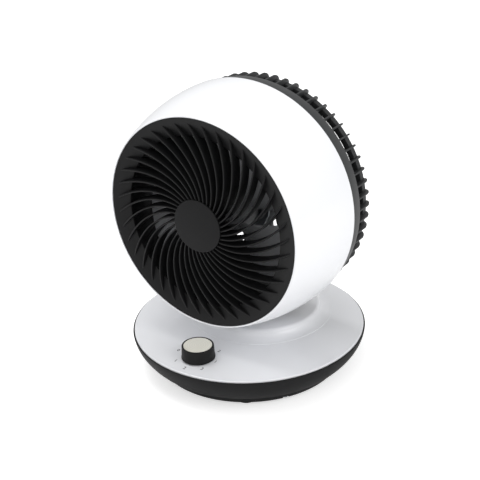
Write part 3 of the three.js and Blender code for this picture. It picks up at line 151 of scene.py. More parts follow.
def moulded(name, shade, roughness, grain, relief, ior=1.53, drift=0.03, coat=0.0, shine=0.5):
    """A moulded plastic: grain is the width and relief the depth of the mould's texture, in mm.

    A real mould's texture is 0.1 to 0.3 mm wide. It is drawn several times as wide, so that it shows.
    """
    material, tree, place = new_finish(name)
    pits = add_node(tree, "ShaderNodeTexNoise", {"Vector": place, "Scale": 1000 / grain, "Detail": 2.0})
    height = {"Height": pits.outputs["Fac"], "Distance": relief / 1000, "Strength": 0.6}
    bump = add_node(tree, "ShaderNodeBump", height)
    # Slow changes of gloss and tone over about 60 mm, as the flow of the plastic leaves them.
    flow = add_node(tree, "ShaderNodeTexNoise", {"Vector": place, "Scale": 1000 / 60, "Detail": 3.0})
    span = {"Value": flow.outputs["Fac"], "To Min": 0.85 * roughness, "To Max": 1.2 * roughness}
    gloss = add_node(tree, "ShaderNodeMapRange", span)
    inputs = {
        "Roughness": gloss.outputs["Result"],
        "IOR": ior,
        "Specular IOR Level": shine,
        "Coat Weight": coat,
        "Normal": bump.outputs["Normal"],
    }
    dress(tree, flow.outputs["Fac"], shade, 1 - drift, inputs)
    return material


def metal(name, shade, roughness, stretch, grain):
    """A metal whose marks along each axis are grain mm divided by that axis's stretch."""
    material, tree, place = new_finish(name)
    drawn = add_node(tree, "ShaderNodeMapping", {"Vector": place, "Scale": stretch})
    marks = add_node(
        tree, "ShaderNodeTexNoise", {"Vector": drawn.outputs[0], "Scale": 1000 / grain, "Detail": 4.0}
    ).outputs["Fac"]
    bump = add_node(tree, "ShaderNodeBump", {"Height": marks, "Distance": 5e-5, "Strength": 0.5})
    span = {"Value": marks, "To Min": roughness - 0.08, "To Max": roughness + 0.1}
    gloss = add_node(tree, "ShaderNodeMapRange", span)
    inputs = {"Metallic": 1.0, "Roughness": gloss.outputs["Result"], "Normal": bump.outputs["Normal"]}
    dress(tree, marks, shade, 0.82, inputs)
    return material


def turned_foil(name, shade, centre_y):
    """A metallised foil over a turned disc, with fine rings about its centre."""
    material, tree, place = new_finish(name)
    centred = add_node(tree, "ShaderNodeMapping", {"Vector": place, "Location": (0, -centre_y / 1000, 0)})
    # Turning marks 2.2 mm apart, far coarser than the real ones, so that they show: the texture goes on by
    # 20 radians for each unit of its scale, and here by one radian in 0.35 mm.
    rings = add_node(
        tree,
        "ShaderNodeTexWave",
        {"Vector": centred.outputs[0], "Scale": 1000 / 0.35 / 20, "Distortion": 0.4},
        wave_type="RINGS",
        rings_direction="Z",
    ).outputs["Fac"]
    bump = add_node(tree, "ShaderNodeBump", {"Height": rings, "Distance": 2e-5, "Strength": 0.4})
    dress(tree, rings, shade, 0.93, {"Metallic": 0.1, "Roughness": 0.38, "Normal": bump.outputs["Normal"]})
    return material


def make_finishes(scene):
    """Every finish of the fan, by the name of the record's material slot or of its own place."""
    colours = scene.fan_colours
    shell, cover = tuple(colours.shell), tuple(colours.cover)
    black, grey = tuple(colours.black), tuple(colours.rear_grey)
    return {
        # Glossy ABS from a polished mould: white, a clear soft reflection and next to no grain.
        "white_shell": moulded("Glossy white ABS", shell, 0.16, 2.5, 0.001, drift=0.008, coat=0.15),
        # The cover is the shell's white ABS with a slightly softer polish; its darker grey is painted shade,
        # for the less light that the cover gets beside the shell.
        "white_shell_painted_shade": moulded("Satin white ABS", cover, 0.24, 2.5, 0.0015, drift=0.008, coat=0.1),
        # ABS from a spark-eroded mould: black, an even fine grain and a dull sheen.
        "black_plastic": moulded("Spark-eroded black ABS", black, 0.5, 0.9, 0.03, drift=0.12, shine=0.18),
        # Polypropylene from a lightly blasted mould: black and slightly smoother than the ABS.
        "black_satin": moulded(
            "Satin black polypropylene", black, 0.42, 1.1, 0.02, ior=1.49, drift=0.1, shine=0.22
        ),
        # The same polypropylene coloured dark grey, whose edges catch a little more light.
        "dark_grey_plastic": moulded(
            "Satin grey polypropylene", grey, 0.45, 1.1, 0.03, ior=1.49, drift=0.1, shine=0.35
        ),
        # Glass-filled polypropylene: fibres near the surface leave it slightly cloudy. Its grey is partly
        # painted light: it is lighter than the plastic's own, so that the blade shows in the grille's shade.
        "blade_plastic": moulded(
            "Glass-filled polypropylene", linear("#9C9DA0"), 0.4, 0.7, 0.03, ior=1.49, drift=0.2
        ),
        # Metallised foil hot-stamped on a turned disc: cream silver with faint rings.
        "cream_disc": turned_foil("Hot-stamped foil", linear("#E2E0D5"), mm(scene.fan_sizes.knob_y)),
        # Moulded rubber: nearly black, dull, with a slight bloom.
        "rubber": moulded("Moulded rubber", linear("#1E1E1F"), 0.78, 0.8, 0.05, ior=1.52, drift=0.25),
        # Ground steel bar: bright, with fine marks that run from front to back.
        "steel": metal("Ground steel", linear("#C3C6CA"), 0.28, (6, 1, 6), 0.8),
        # Zinc-plated pressed steel: greyish, softly clouded.
        "zinc_plate": metal("Zinc-plated steel", linear("#A9AEB3"), 0.4, (1, 1, 1), 3.0),
        # Cast iron under a phosphate coat: dark grey and rough.
        "iron": metal("Phosphated iron", linear("#5B5E61"), 0.62, (1, 1, 1), 1.4),
        # Stacked laminations under varnish: thin dark lines 0.5 mm apart.
        "core_and_winding": metal("Varnished laminations", linear("#7A5F4C"), 0.45, (0.2, 8, 0.2), 4.0),
        # Natural nylon: an ivory colour and a waxy sheen.
        "nylon": moulded("Natural nylon", linear("#D9D5C6"), 0.42, 1.0, 0.02, drift=0.05),
        # Pad-printed ink: a flat dark grey, slightly duller than the plastic under it.
        "print": moulded("Pad-printed ink", linear("#4C4D50"), 0.55, 0.5, 0.005, drift=0.15),
    }


FINISHES = {}


def finish(name):
    """A finish by its name; all of them are made when the first one is asked for."""
    if not FINISHES:
        FINISHES.update(make_finishes(bpy.context.scene))
    return FINISHES[name]


# ---- Shapes ----

# Takes a plate's outline from x and y to the fan's y and z, so that its depth lies across the fan.
ACROSS = Matrix(((0, 0, 1, 0), (1, 0, 0, 0), (0, 1, 0, 0), (0, 0, 0, 1)))


def at(x, y, z):
    """A move."""
    return Matrix.Translation((x, y, z))


def about(axis, degrees):
    """A turn about an axis."""
    return Matrix.Rotation(radians(degrees), 4, axis)


def round_base(circle, degrees, z=0):
    """A move to a place on a circle round the base's middle, counted from the front."""
    return at(circle * sin(radians(degrees)), -circle * cos(radians(degrees)), z)


def polar(radius, turn):
    """x and y at a radius, turned from the x axis by an angle in radians."""
    return radius * cos(turn), radius * sin(turn)


def bend(corners, share):
    """A point on the curve that leaves the first corner for the second and bends on to the third."""
    start, middle, end = (Vector(corner) for corner in corners)
    return start.lerp(middle, share).lerp(middle.lerp(end, share), share)


def curve(corners, steps):
    """Points along such a curve, both ends among them."""
    return [bend(corners, i / steps) for i in range(steps + 1)]


def outline(points, closed=True):
    """A wire through (x, y, z) points; a fourth number rounds that corner to a radius."""
    bm = bmesh.new()
    corners = [bm.verts.new(p[:3]) for p in points]
    for a, b in zip(corners, corners[1:] + corners[:1]):
        if closed or b is not corners[0]:
            bm.edges.new((a, b))
    for corner, p in zip(corners, points):
        if len(p) > 3:
            bmesh.ops.bevel(
                bm,
                geom=[corner],
                offset=p[3],
                offset_type="OFFSET",
                segments=4,
                profile=0.5,
                affect="VERTICES",
                material=-1,
            )
    return bm


def turned(profile, steps):
    """(radius, height, rounding) points turned about the Z axis; they close on themselves off the axis."""
    on_axis = profile[0][0] == 0 and profile[-1][0] == 0
    bm = outline([(p[0], 0, p[1], *p[2:]) for p in profile], closed=not on_axis)
    bmesh.ops.spin(
        bm,
        geom=bm.verts[:] + bm.edges[:],
        cent=(0, 0, 0),
        axis=(0, 0, 1),
        angle=2 * pi,
        steps=steps,
        use_merge=True,
    )
    merged(bm)
    return bm


def merged(bm):
    """Merges doubled points and turns the faces outwards."""
    bmesh.ops.remove_doubles(bm, verts=bm.verts, dist=1e-4)
    bmesh.ops.recalc_face_normals(bm, faces=bm.faces)


def bar(radius, low, high, steps=SMALL, rounding=0.0):
    """A round bar on the Z axis."""
    edge = (rounding,) if rounding else ()
    return turned([(0, low), (radius, low, *edge), (radius, high, *edge), (0, high)], steps)


def placed(bm, matrix):
    """The shape, moved or turned."""
    bmesh.ops.transform(bm, matrix=matrix, verts=bm.verts)
    return bm


def thickened(bm, depth):
    """A sheet drawn out along z and closed all round."""
    grown = bmesh.ops.extrude_face_region(bm, geom=bm.faces[:])["geom"]
    upper = [g for g in grown if isinstance(g, bmesh.types.BMVert)]
    bmesh.ops.translate(bm, verts=upper, vec=(0, 0, depth))
    bmesh.ops.recalc_face_normals(bm, faces=bm.faces)
    return bm


def plate(points, depth):
    """A flat outline in x and y, given a depth along z about z = 0."""
    bm = outline([(p[0], p[1], -depth / 2, *p[2:]) for p in points])
    bmesh.ops.edgeloop_fill(bm, edges=bm.edges[:])
    return thickened(bm, depth)


def rounded(bm, width):
    """The shape with each edge bevelled at which it turns by more than 50 degrees."""
    edges = [e for e in bm.edges if len(e.link_faces) == 2 and e.calc_face_angle() > radians(50)]
    bmesh.ops.bevel(
        bm,
        geom=edges,
        offset=width,
        offset_type="OFFSET",
        segments=2,
        profile=0.5,
        affect="EDGES",
        clamp_overlap=True,
        material=-1,
    )
    return bm


def repeated(bm, number):
    """The same shape a number of times around the Z axis."""
    bmesh.ops.spin(
        bm,
        geom=bm.verts[:] + bm.edges[:] + bm.faces[:],
        cent=(0, 0, 0),
        axis=(0, 0, 1),
        angle=2 * pi * (number - 1) / number,
        steps=number - 1,
        use_duplicate=True,
    )
    bmesh.ops.recalc_face_normals(bm, faces=bm.faces)
    return bm


def swept(sections):
    """A face drawn through each section in turn by extruding it and moving its corners."""
    bm = bmesh.new()
    corners = [bm.verts.new(p) for p in sections[0]]
    face = bm.faces.new(corners)
    for number, section in enumerate(sections[1:]):
        grown = bmesh.ops.extrude_face_region(bm, geom=[face])["geom"]
        if number:
            bm.faces.remove(face)
        face = next(g for g in grown if isinstance(g, bmesh.types.BMFace))
        moved = {tuple(v.co): v for v in face.verts}
        corners = [moved[tuple(v.co)] for v in corners]
        for vert, target in zip(corners, section):
            vert.co = target
    bmesh.ops.recalc_face_normals(bm, faces=bm.faces)
    return bm


def new_mesh(name, bm):
    """The shape as a mesh; the shape itself is given up."""
    mesh = bpy.data.meshes.new(name)
    bm.to_mesh(mesh)
    bm.free()
    return mesh


def new_object(name, data):
    """An object in the scene."""
    made = bpy.data.objects.new(name, data)
    bpy.context.scene.collection.objects.link(made)
    return made


def joined(*shapes):
    """Several shapes in one, side by side or running into each other."""
    whole = bmesh.new()
    for shape in shapes:
        spare = new_mesh("spare", shape)
        whole.from_mesh(spare)
        bpy.data.meshes.remove(spare)
    return whole


def combined(base, tool, operation):
    """base with tool cut out of it or merged into it, as one closed shape."""
    pair = [new_object("spare", new_mesh("spare", bm)) for bm in (base, tool)]
    modifier = pair[0].modifiers.new("combine", "BOOLEAN")
    modifier.operation = operation
    modifier.solver = "EXACT"
    modifier.object = pair[1]
    bpy.context.view_layer.update()
    depsgraph = bpy.context.evaluated_depsgraph_get()
    result = bmesh.new()
    result.from_mesh(pair[0].evaluated_get(depsgraph).to_mesh())
    for spare in pair:
        mesh = spare.data
        bpy.data.objects.remove(spare)
        bpy.data.meshes.remove(mesh)
    if not result.faces:
        raise RuntimeError("a combined shape came out empty")
    return result


def cut(base, tool):
    """base with tool cut out of it."""
    return combined(base, tool, "DIFFERENCE")


def pan_screw(reach):
    """A pan-head screw with a cross recess: its head above z = 0 and its shank below."""
    body = turned(
        [
            (0, -reach),
            (0.5, -reach),
            (1.5, 1.5 - reach),
            (1.5, 0),
            (3, 0, 0.15),
            (3, 0.8, 0.5),
            (1.8, 1.8, 0.6),
            (0, 1.8),
        ],
        SMALL,
    )
    half, end = 0.42, 1.7
    arm, cross = [(half, half), (half, end), (-half, end)], []
    for _ in range(4):
        cross += arm
        arm = [(-y, x) for x, y in arm]
    return cut(body, placed(plate(cross, 2), at(0, 0, 1.8)))


def finished(name, bm, slot, body, replaces=(), sharp=35, look=None):
    """Makes the piece itself, in metres, smooth where its faces turn by less than the sharp angle.

    Its finish is the slot's, unless look names another.
    """
    bmesh.ops.scale(bm, vec=(0.001, 0.001, 0.001), verts=bm.verts)
    mesh = new_mesh(name, bm)
    mesh.shade_smooth()
    mesh.set_sharp_from_angle(angle=radians(sharp))
    mesh.materials.append(finish(look or slot))
    piece = new_object(name, mesh)
    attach(piece, body)
    if replaces:
        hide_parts(*replaces)


def in_head(name, bm, slot, replaces, body="head"):
    """Makes a piece that was drawn in the head's frame."""
    height = mm(bpy.context.scene.fan_sizes.head_height)
    finished(name, placed(bm, at(0, 0, height) @ about("X", 90)), slot, body, replaces)


# ---- What a user would change ----


def length(name, description, default):
    """A length property, its default in metres."""
    return FloatProperty(
        name=name,
        description=description,
        default=default,
        min=-1,
        max=1,
        unit="LENGTH",
        subtype="DISTANCE",
    )


def colour(name, description, code):
    """A colour property, its default an sRGB hex colour."""
    return FloatVectorProperty(
        name=name,
        description=description,
        default=linear(code),
        size=4,
        min=0,
        max=1,
        subtype="COLOR",
    )


class FanSizes(PropertyGroup):
    """Sizes that set the fan's main pieces; the base's radius comes from the frame."""

    base_radius: length("Base radius", "Outside of the black bowl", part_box("base_bowl")[1].x)
    rim_height: length("Rim height", "The white rim above the table", 0.04)
    deck_height: length("Deck height", "The cover's flat middle above the table", 0.042)
    knob_y: length("Knob place", "The knob's centre in front of the base's middle", -0.0863)
    knob_height: length("Knob height", "From the knob's foot to its top", 0.0128)
    swing_y: length("Swing axis", "The swing axis behind the base's middle", 0.023)
    head_height: length("Head height", "The blade's axis above the table", 0.174)
    shell_radius: length("Shell radius", "The barrel at its widest", 0.11588)
    shell_arc: length("Shell curve", "Radius of the barrel's long curve", 0.198)
    rib_thickness: length("Rib thickness", "Thickness of a front rib", 0.0015)
    fin_thickness: length("Fin thickness", "Thickness of a rear fin", 0.0016)


class FanColours(PropertyGroup):
    """Colours of the visible plastics and of the floor."""

    shell: colour("Shell", "Glossy shell round the blade", "#F3F4F7")
    # The cover's grey, darker than the shell's white, is painted shade: the cover is moulded in the shell's
    # plastic.
    cover: colour("Cover", "Satin cover and pedestal of the base", "#E0E1E4")
    black: colour("Black", "Bowl, front grille and knob", "#151516")
    rear_grey: colour("Rear grille", "Band and fins behind the shell", "#353637")
    floor: colour("Floor", "Studio floor and backdrop", "#F4F4F4")


# ---- Base ----


class FAN_OT_bowl(Operator):
    """Model the black bowl with its cable inlet, and the tray that closes it from below"""

    bl_idname = "fan.bowl"
    bl_label = "Bowl and tray"

    def execute(self, context):
        sizes = context.scene.fan_sizes
        radius, rim = mm(sizes.base_radius), mm(sizes.rim_height)
        lip, seat = 1.2, rim - 3.4
        flank = curve([(radius, rim - 2), (radius - 1.4, rim / 2 + 5), (BOWL_FOOT, BOWL_BOTTOM)], 12)
        inside = [p - Vector((WALL, 0)) for p in flank[3:-2]]
        profile = [
            (radius - lip, rim - 1.3, 0.25),
            (radius - 0.05, rim - 1.3, 0.4),
            *flank[:-1],
            (BOWL_FOOT, BOWL_BOTTOM, 0.5),
            (BOWL_MOUTH, BOWL_BOTTOM),
            (BOWL_MOUTH, BOWL_BOTTOM + WALL),
            (BOWL_FOOT - WALL, BOWL_BOTTOM + WALL),
            *reversed(inside),
            (radius - WALL - lip, seat),
            (radius - lip, seat),
        ]
        bowl = turned(profile, FINE)
        backwards = at(0, 0, INLET_Z) @ about("X", -90)
        boss = placed(bar(7.8, INLET_FACE - 7.5, INLET_FACE, rounding=0.8), backwards)
        hole = placed(bar(5.3, 80, 130), backwards)
        bowl = cut(combined(bowl, boss, "UNION"), hole)
        finished("bowl", bowl, "black_plastic", "base", ["base_bowl"])

        bottom, floor = 2.5, 4.7
        tray = turned(
            [
                (0, bottom),
                (70, bottom),
                (71, 3.1),
                (73, 3.1),
                (74, bottom),
                (92, bottom, 0.8),
                (BOWL_FOOT - 2.5, BOWL_BOTTOM - GAP, 0.4),
                (BOWL_MOUTH, BOWL_BOTTOM - GAP),
                (BOWL_MOUTH, floor),
                (0, floor),
            ],
            FINE,
        )
        for degrees in TRAY_SCREW_ANGLES:
            place = round_base(TRAY_SCREW_CIRCLE, degrees)
            tray = cut(tray, placed(bar(3.5, 0, 5.5), place))
            tray = cut(tray, placed(bar(1.8, 5, 20), place))
        post = placed(bar(15, 4, 11.7), at(0, 56.25, 0))
        finished("tray", joined(tray, post), "black_plastic", "base", ["base_tray"])

        bush = turned(
            [
                (3.2, INLET_FACE - 12),
                (5, INLET_FACE - 12),
                (5, INLET_FACE + GAP),
                (6.6, INLET_FACE + GAP, 0.3),
                (6.6, INLET_FACE + 1.6, 0.5),
                (5.4, INLET_FACE + 2.4, 0.4),
                (4, INLET_FACE + 2.4, 0.3),
                (3.2, INLET_FACE + 1.4, 0.3),
            ],
            SMALL,
        )
        finished("inlet_bush", placed(bush, backwards), "rubber", "base", ["cable_inlet"])
        return {"FINISHED"}


class FAN_OT_feet(Operator):
    """Model the rubber feet under the tray"""

    bl_idname = "fan.feet"
    bl_label = "Feet"

    def execute(self, context):
        # A ring that stands on the table, about a middle that is just clear of it.
        profile = [(0, 0.3), (7.6, 0.3), (8, 0, 0.15), (9.5, 0, 0.5), (10.5, 2.2, 0.3), (0, 2.2)]
        for number, degrees in enumerate(FOOT_ANGLES, start=1):
            foot = placed(turned(profile, MEDIUM), round_base(FOOT_CIRCLE, degrees))
            finished(f"foot_{number}", foot, "rubber", "base", [f"rubber_foot_{number}"])
        return {"FINISHED"}


class FAN_OT_base_screws(Operator):
    """Model the screws that hold the tray under the bowl"""

    bl_idname = "fan.base_screws"
    bl_label = "Base screws"

    def execute(self, context):
        for number, degrees in enumerate(TRAY_SCREW_ANGLES, start=1):
            place = round_base(TRAY_SCREW_CIRCLE, degrees, 5.2) @ about("X", 180)
            screw = placed(pan_screw(8.2), place)
            finished(f"tray_screw_{number}", screw, "zinc_plate", "base", [f"base_screw_{number}"])
        return {"FINISHED"}


def cover_slope(sizes):
    """The corners of the cover's curve from just inside its rim to its flat middle."""
    edge = mm(sizes.base_radius) - COVER_INSET
    rim, deck = mm(sizes.rim_height), mm(sizes.deck_height)
    return (edge - 2.6, rim + 0.4), (edge - 14, deck - 0.1), (COVER_FLAT, deck)


class FAN_OT_cover(Operator):
    """Model the white cover with the swivel pedestal that rises out of it"""

    bl_idname = "fan.cover"
    bl_label = "Cover and pedestal"

    def execute(self, context):
        sizes = context.scene.fan_sizes
        edge = mm(sizes.base_radius) - COVER_INSET
        rim, deck = mm(sizes.rim_height), mm(sizes.deck_height)
        cover = turned(
            [
                (0, deck - 3),
                (edge - 13.6, deck - 3),
                (edge - 6, rim - WALL),
                (edge - 3, rim - 3.1),
                (edge, rim - 3.1),
                (edge, rim - 0.1, 0.5),
                (edge - 1.1, rim + 0.35, 0.4),
                *curve(cover_slope(sizes), 10),
                (0, deck),
            ],
            FINE,
        )
        swing = at(0, mm(sizes.swing_y), 0)
        below, above = 30, 60  # a bar between these heights cuts right through the cover
        opening = 57  # under the pedestal
        cover = cut(cover, placed(bar(opening, below, above, FINE), swing))

        foot, radius, waist, top = PEDESTAL_FOOT, PEDESTAL_RADIUS, 48, PEDESTAL_TOP
        pedestal = turned(
            [
                (opening - 1, deck - 3),
                (foot - 2, deck - 2),
                (foot + 0.5, deck - 1.2),
                *curve([(foot, deck + 0.35), (radius + 2, deck + 0.4), (radius, waist)], 12),
                (radius - 0.8, top - 0.4, 2.6),
                (SOCKET_RADIUS, top, 0.5),
                (SOCKET_RADIUS, SOCKET_FLOOR),
                (SHAFT_RADIUS + 0.8, SOCKET_FLOOR),
                (SHAFT_RADIUS + 0.8, SOCKET_FLOOR - WALL),
                (SOCKET_RADIUS + WALL, SOCKET_FLOOR - WALL),
                (SOCKET_RADIUS + WALL, top - WALL),
                (radius - 3.5, top - WALL - 0.6),
                (radius - WALL - 0.5, waist),
            ],
            FINE,
        )
        cover = combined(cover, placed(pedestal, swing), "UNION")
        cover = cut(cover, placed(bar(5.3, below, above), at(0, mm(sizes.knob_y), 0)))
        # A darker copy of the shell's finish, as painted shade on the cover.
        finished("cover", cover, "white_shell", "base", ["base_cover"], sharp=28, look="white_shell_painted_shade")
        return {"FINISHED"}


# The figures round the knob, each with its angle in degrees from the knob's right and its distance in mm.
DIAL_FIGURES = (
    ("0", 179, 24),
    ("1", 225, 21.8),
    ("2", 268, 21.3),
    ("3", 315, 20.8),
    ("1", 4, 19),
    ("2", 60, 21.6),
)
INK = 0.02  # half the thickness of the print


class FAN_OT_dial(Operator):
    """Print the switch's positions on the cover around the knob"""

    bl_idname = "fan.dial"
    bl_label = "Dial numbers"

    def execute(self, context):
        sizes = context.scene.fan_sizes
        for number, (figure, degrees, out) in enumerate(DIAL_FIGURES, start=1):
            text = bpy.data.curves.new("figure", "FONT")
            text.body = figure
            text.size = 5.2
            text.offset = 0.09  # thickens the strokes
            text.align_x = "CENTER"
            text.align_y = "CENTER"
            text.extrude = INK
            spare = new_object("figure", text)
            bpy.context.view_layer.update()
            bm = bmesh.new()
            bm.from_mesh(spare.evaluated_get(bpy.context.evaluated_depsgraph_get()).to_mesh())
            bpy.data.objects.remove(spare)
            bpy.data.curves.remove(text)
            merged(bm)
            x, y = polar(out, radians(degrees))
            placed(bm, at(x, mm(sizes.knob_y) + y, mm(sizes.deck_height) + INK))
            drop_to_cover(bm, sizes)
            finished(f"dial_{number}", bm, None, "base", look="print")
        return {"FINISHED"}


def drop_to_cover(bm, sizes):
    """Lowers the points outside the flat middle as far as the cover's slope falls away there."""
    slope = cover_slope(sizes)
    for v in bm.verts:
        out = sqrt(v.co.x**2 + v.co.y**2)
        if out <= COVER_FLAT:
            continue
        # Halving finds the point of the slope that is this far out.
        low, high = 0.0, 1.0
        for _ in range(20):
            share = (low + high) / 2
            if bend(slope, share).x > out:
                low = share
            else:
                high = share
        v.co.z += bend(slope, low).y - mm(sizes.deck_height)


class FAN_OT_knob(Operator):
    """Model the rotary switch's knob and the pale disc let into its top"""

    bl_idname = "fan.knob"
    bl_label = "Knob"

    def execute(self, context):
        sizes = context.scene.fan_sizes
        place = at(0, mm(sizes.knob_y), 0)
        low = mm(sizes.deck_height) + 0.6
        top = low + mm(sizes.knob_height)
        seat = top - 1.5
        knob = turned(
            [
                (0, seat),
                (13.9, seat),
                (13.9, top, 0.2),
                (15.3, top, 0.5),
                (15.75, low + 3.4, 1.2),
                (16.2, low + 1.2, 0.4),
                (16.2, low, 0.25),
                (14.6, low),
                (13.7, seat - 1.6),
                (5.5, seat - 1.6),
                (5.5, low + 1),
                (0, low + 1),
            ],
            MEDIUM,
        )
        knob = cut(knob, bar(3.3, 0, top - 3.7))
        finished("knob_body", placed(knob, place), "black_plastic", "knob", ["knob"])

        disc = turned([(0, top - 1.2), (13.6, top - 1.2), (13.6, top - 0.1, 0.3), (0, top - 0.1)], MEDIUM)
        notch = plate([(-0.5, 10, 0.2), (0.5, 10, 0.2), (0.5, 15), (-0.5, 15)], 0.7)
        disc = cut(disc, placed(notch, at(0, 0, top + 0.3)))
        finished("knob_face", placed(disc, place), "cream_disc", "knob", ["knob_disc"])
        return {"FINISHED"}


# ---- Swivel ----


class FAN_OT_swivel(Operator):
    """Model the turntable in the pedestal and the neck that stands on it"""

    bl_idname = "fan.swivel"
    bl_label = "Turntable and neck"

    def execute(self, context):
        swing_y = mm(context.scene.fan_sizes.swing_y)
        swing = at(0, swing_y, 0)
        bore, foot, clear = 8, 31.4, SOCKET_RADIUS - 0.8
        turntable = turned(
            [
                (bore, foot),
                (SHAFT_RADIUS, foot, 0.4),
                (SHAFT_RADIUS, TURNTABLE_BOTTOM),
                (clear, TURNTABLE_BOTTOM),
                (clear, TURNTABLE_TOP, 0.8),
                (bore, TURNTABLE_TOP),
            ],
            MEDIUM,
        )
        finished("turntable_disc", placed(turntable, swing), "black_satin", "turret", ["turntable"])

        low = TURNTABLE_TOP + GAP
        upright = plate(
            [
                (-NECK_ROUND - 3, low + 1),
                (NECK_ROUND + 3, low + 1),
                (NECK_ROUND, low + 5, 2),
                (NECK_ROUND, TILT_Z + NECK_ROUND, NECK_ROUND - 0.01),
                (-NECK_ROUND, TILT_Z + NECK_ROUND, NECK_ROUND - 0.01),
                (-NECK_ROUND, low + 5, 2),
            ],
            2 * NECK_HALF,
        )
        upright = placed(rounded(upright, 0.7), at(0, TILT_Y, 0) @ ACROSS)
        flange = turned([(0, low), (22, low), (22, low + 2.2, 0.5), (0, low + 2.2)], MEDIUM)
        neck = combined(upright, placed(flange, swing), "UNION")
        eye = placed(bar(3.3, -20, 20), at(0, TILT_Y, TILT_Z) @ about("Y", 90))
        finished("neck_post", cut(neck, eye), "black_satin", "turret", ["neck"])

        for number, side in enumerate((-1, 1), start=1):
            screw = placed(pan_screw(5.2), at(side * 15.5, swing_y, low + 2.5))
            finished(f"flange_screw_{number}", screw, "zinc_plate", "turret", [f"neck_screw_{number}"])
        return {"FINISHED"}


# ---- Head ----


def barrel(sizes, forward):
    """The barrel's outside radius at a place along the blade's axis."""
    arc = mm(sizes.shell_arc)
    widest = 2  # the place where it is widest
    return mm(sizes.shell_radius) - arc + sqrt(arc**2 - (forward - widest) ** 2)


class FAN_OT_shell(Operator):
    """Model the white barrel, open at both ends"""

    bl_idname = "fan.shell"
    bl_label = "Outer shell"

    def execute(self, context):
        sizes = context.scene.fan_sizes
        rear, front, lip = -7.2, GRILLE_FACE + 0.3, GRILLE_RADIUS + GAP
        steps = 30
        places = [rear + (front - 0.5 - rear) * i / steps for i in range(steps + 1)]
        outside = [(barrel(sizes, f), f) for f in places]
        inside = [(r - WALL, f) for r, f in outside if rear + 1 < f < GRILLE_FACE - 17]
        shell = turned(
            [
                (outside[0][0] - WALL, rear),
                (outside[0][0], rear, 0.3),
                *outside[1:],
                (barrel(sizes, front) - 0.25, front, 0.2),
                (lip, front, 0.3),
                (lip, GRILLE_FACE - 15),
                *reversed(inside),
            ],
            2 * FINE,
        )
        in_head("barrel", shell, "white_shell", ["outer_shell"])
        return {"FINISHED"}


# The ribs: how many, the radius that they end at, and their spiral. At RIB_MIDDLE they stand at RIB_ANGLE
# degrees, turn on by RIB_TURN degrees for each mm outwards, and straighten by RIB_EASE.
RIBS, RIB_END = 40, 96
RIB_MIDDLE, RIB_ANGLE, RIB_TURN, RIB_EASE = 30, 3.84, 0.693, 0.002


def rib_angle(radius):
    """The spiral's angle at a radius."""
    out = radius - RIB_MIDDLE
    return radians(RIB_ANGLE + RIB_TURN * out - RIB_EASE * out * out)


def rib_section(radius, thickness):
    """A rib's cross section at a radius: a thin wall whose front edge is rounded."""
    share = (radius - HUB_RADIUS) / (RIB_END - HUB_RADIUS)
    front = GRILLE_FACE + 3 * (1 - share**2) - 1.6 * share**6
    if radius < HUB_RADIUS + 1.3:
        front = HUB_FRONT - 0.1  # under the hub's cover
    sunk = (GRILLE_FACE - FUNNEL_FACE) * (GRILLE_RADIUS - radius) / (GRILLE_RADIUS - FUNNEL_RADIUS)
    back = GRILLE_FACE - sunk - 1 if radius > FUNNEL_RADIUS else HUB_BACK
    # The spiral runs aslant, so the wall is wider along the circle than across itself.
    half = thickness / 2 / radius * sqrt(1 + (radians(RIB_TURN) * radius) ** 2)
    low, high = front - 0.7, front - 0.2
    corners = (-1, back), (1, back), (1, low), (0.7, high), (0, front), (-0.7, high), (-1, low)
    return [Vector((*polar(radius, rib_angle(radius) + side * half), z)) for side, z in corners]


class FAN_OT_front_grille(Operator):
    """Model the front grille's ring, spiral ribs and hub, and the plain cover on the hub"""

    bl_idname = "fan.front_grille"
    bl_label = "Front grille"

    def execute(self, context):
        thickness = mm(context.scene.fan_sizes.rib_thickness)
        skirt = GRILLE_FACE - 14
        ring = turned(
            [
                (GRILLE_RADIUS, GRILLE_FACE, 0.5),
                (FUNNEL_RADIUS + 6, FUNNEL_FACE + 1.2, 2),
                (FUNNEL_RADIUS, FUNNEL_FACE, 0.6),
                (FUNNEL_RADIUS, FUNNEL_FACE - WALL, 0.4),
                (GRILLE_RADIUS - WALL, GRILLE_FACE - WALL),
                (GRILLE_RADIUS - WALL, skirt),
                (GRILLE_RADIUS, skirt, 0.4),
            ],
            2 * FINE,
        )
        hub = turned(
            [
                (0, HUB_FRONT),
                (HUB_RADIUS, HUB_FRONT, 0.4),
                (HUB_RADIUS, HUB_BACK, 0.4),
                (HUB_RADIUS - WALL, HUB_BACK),
                (HUB_RADIUS - WALL, HUB_FRONT - WALL),
                (0, HUB_FRONT - WALL),
            ],
            MEDIUM,
        )
        # Two radii close together stand at each step: at the cover's edge and at the funnel's.
        first = 27
        radii = [22.4, 25.6, 25.8] + [first + (RIB_END - first) * i / 33 for i in range(34)]
        radii = sorted(set(radii) | {FUNNEL_RADIUS - 0.3, FUNNEL_RADIUS + 0.3})
        ribs = repeated(swept([rib_section(r, thickness) for r in radii]), RIBS)
        in_head("spiral_grille", joined(ring, hub, ribs), "black_satin", ["front_grille"])

        cap = turned(
            [
                (0, HUB_FRONT + GAP),
                (25, HUB_FRONT + GAP, 0.2),
                (25.4, HUB_FRONT + 1.2, 0.3),
                (25.4, GRILLE_FACE + 4, 0.9),
                (0, GRILLE_FACE + 4),
            ],
            FINE,
        )
        in_head("hub_cap", cap, "black_plastic", ["hub_cover"])
        return {"FINISHED"}


def screw_posts(radius, low, high, rounding):
    """Four round posts, one for each screw behind the rear grille."""
    post = placed(bar(radius, low, high, rounding=rounding), at(GRILLE_SCREW_CIRCLE, 0, 0))
    return placed(repeated(post, len(HEAD_SCREW_ANGLES)), about("Z", HEAD_SCREW_ANGLES[0]))


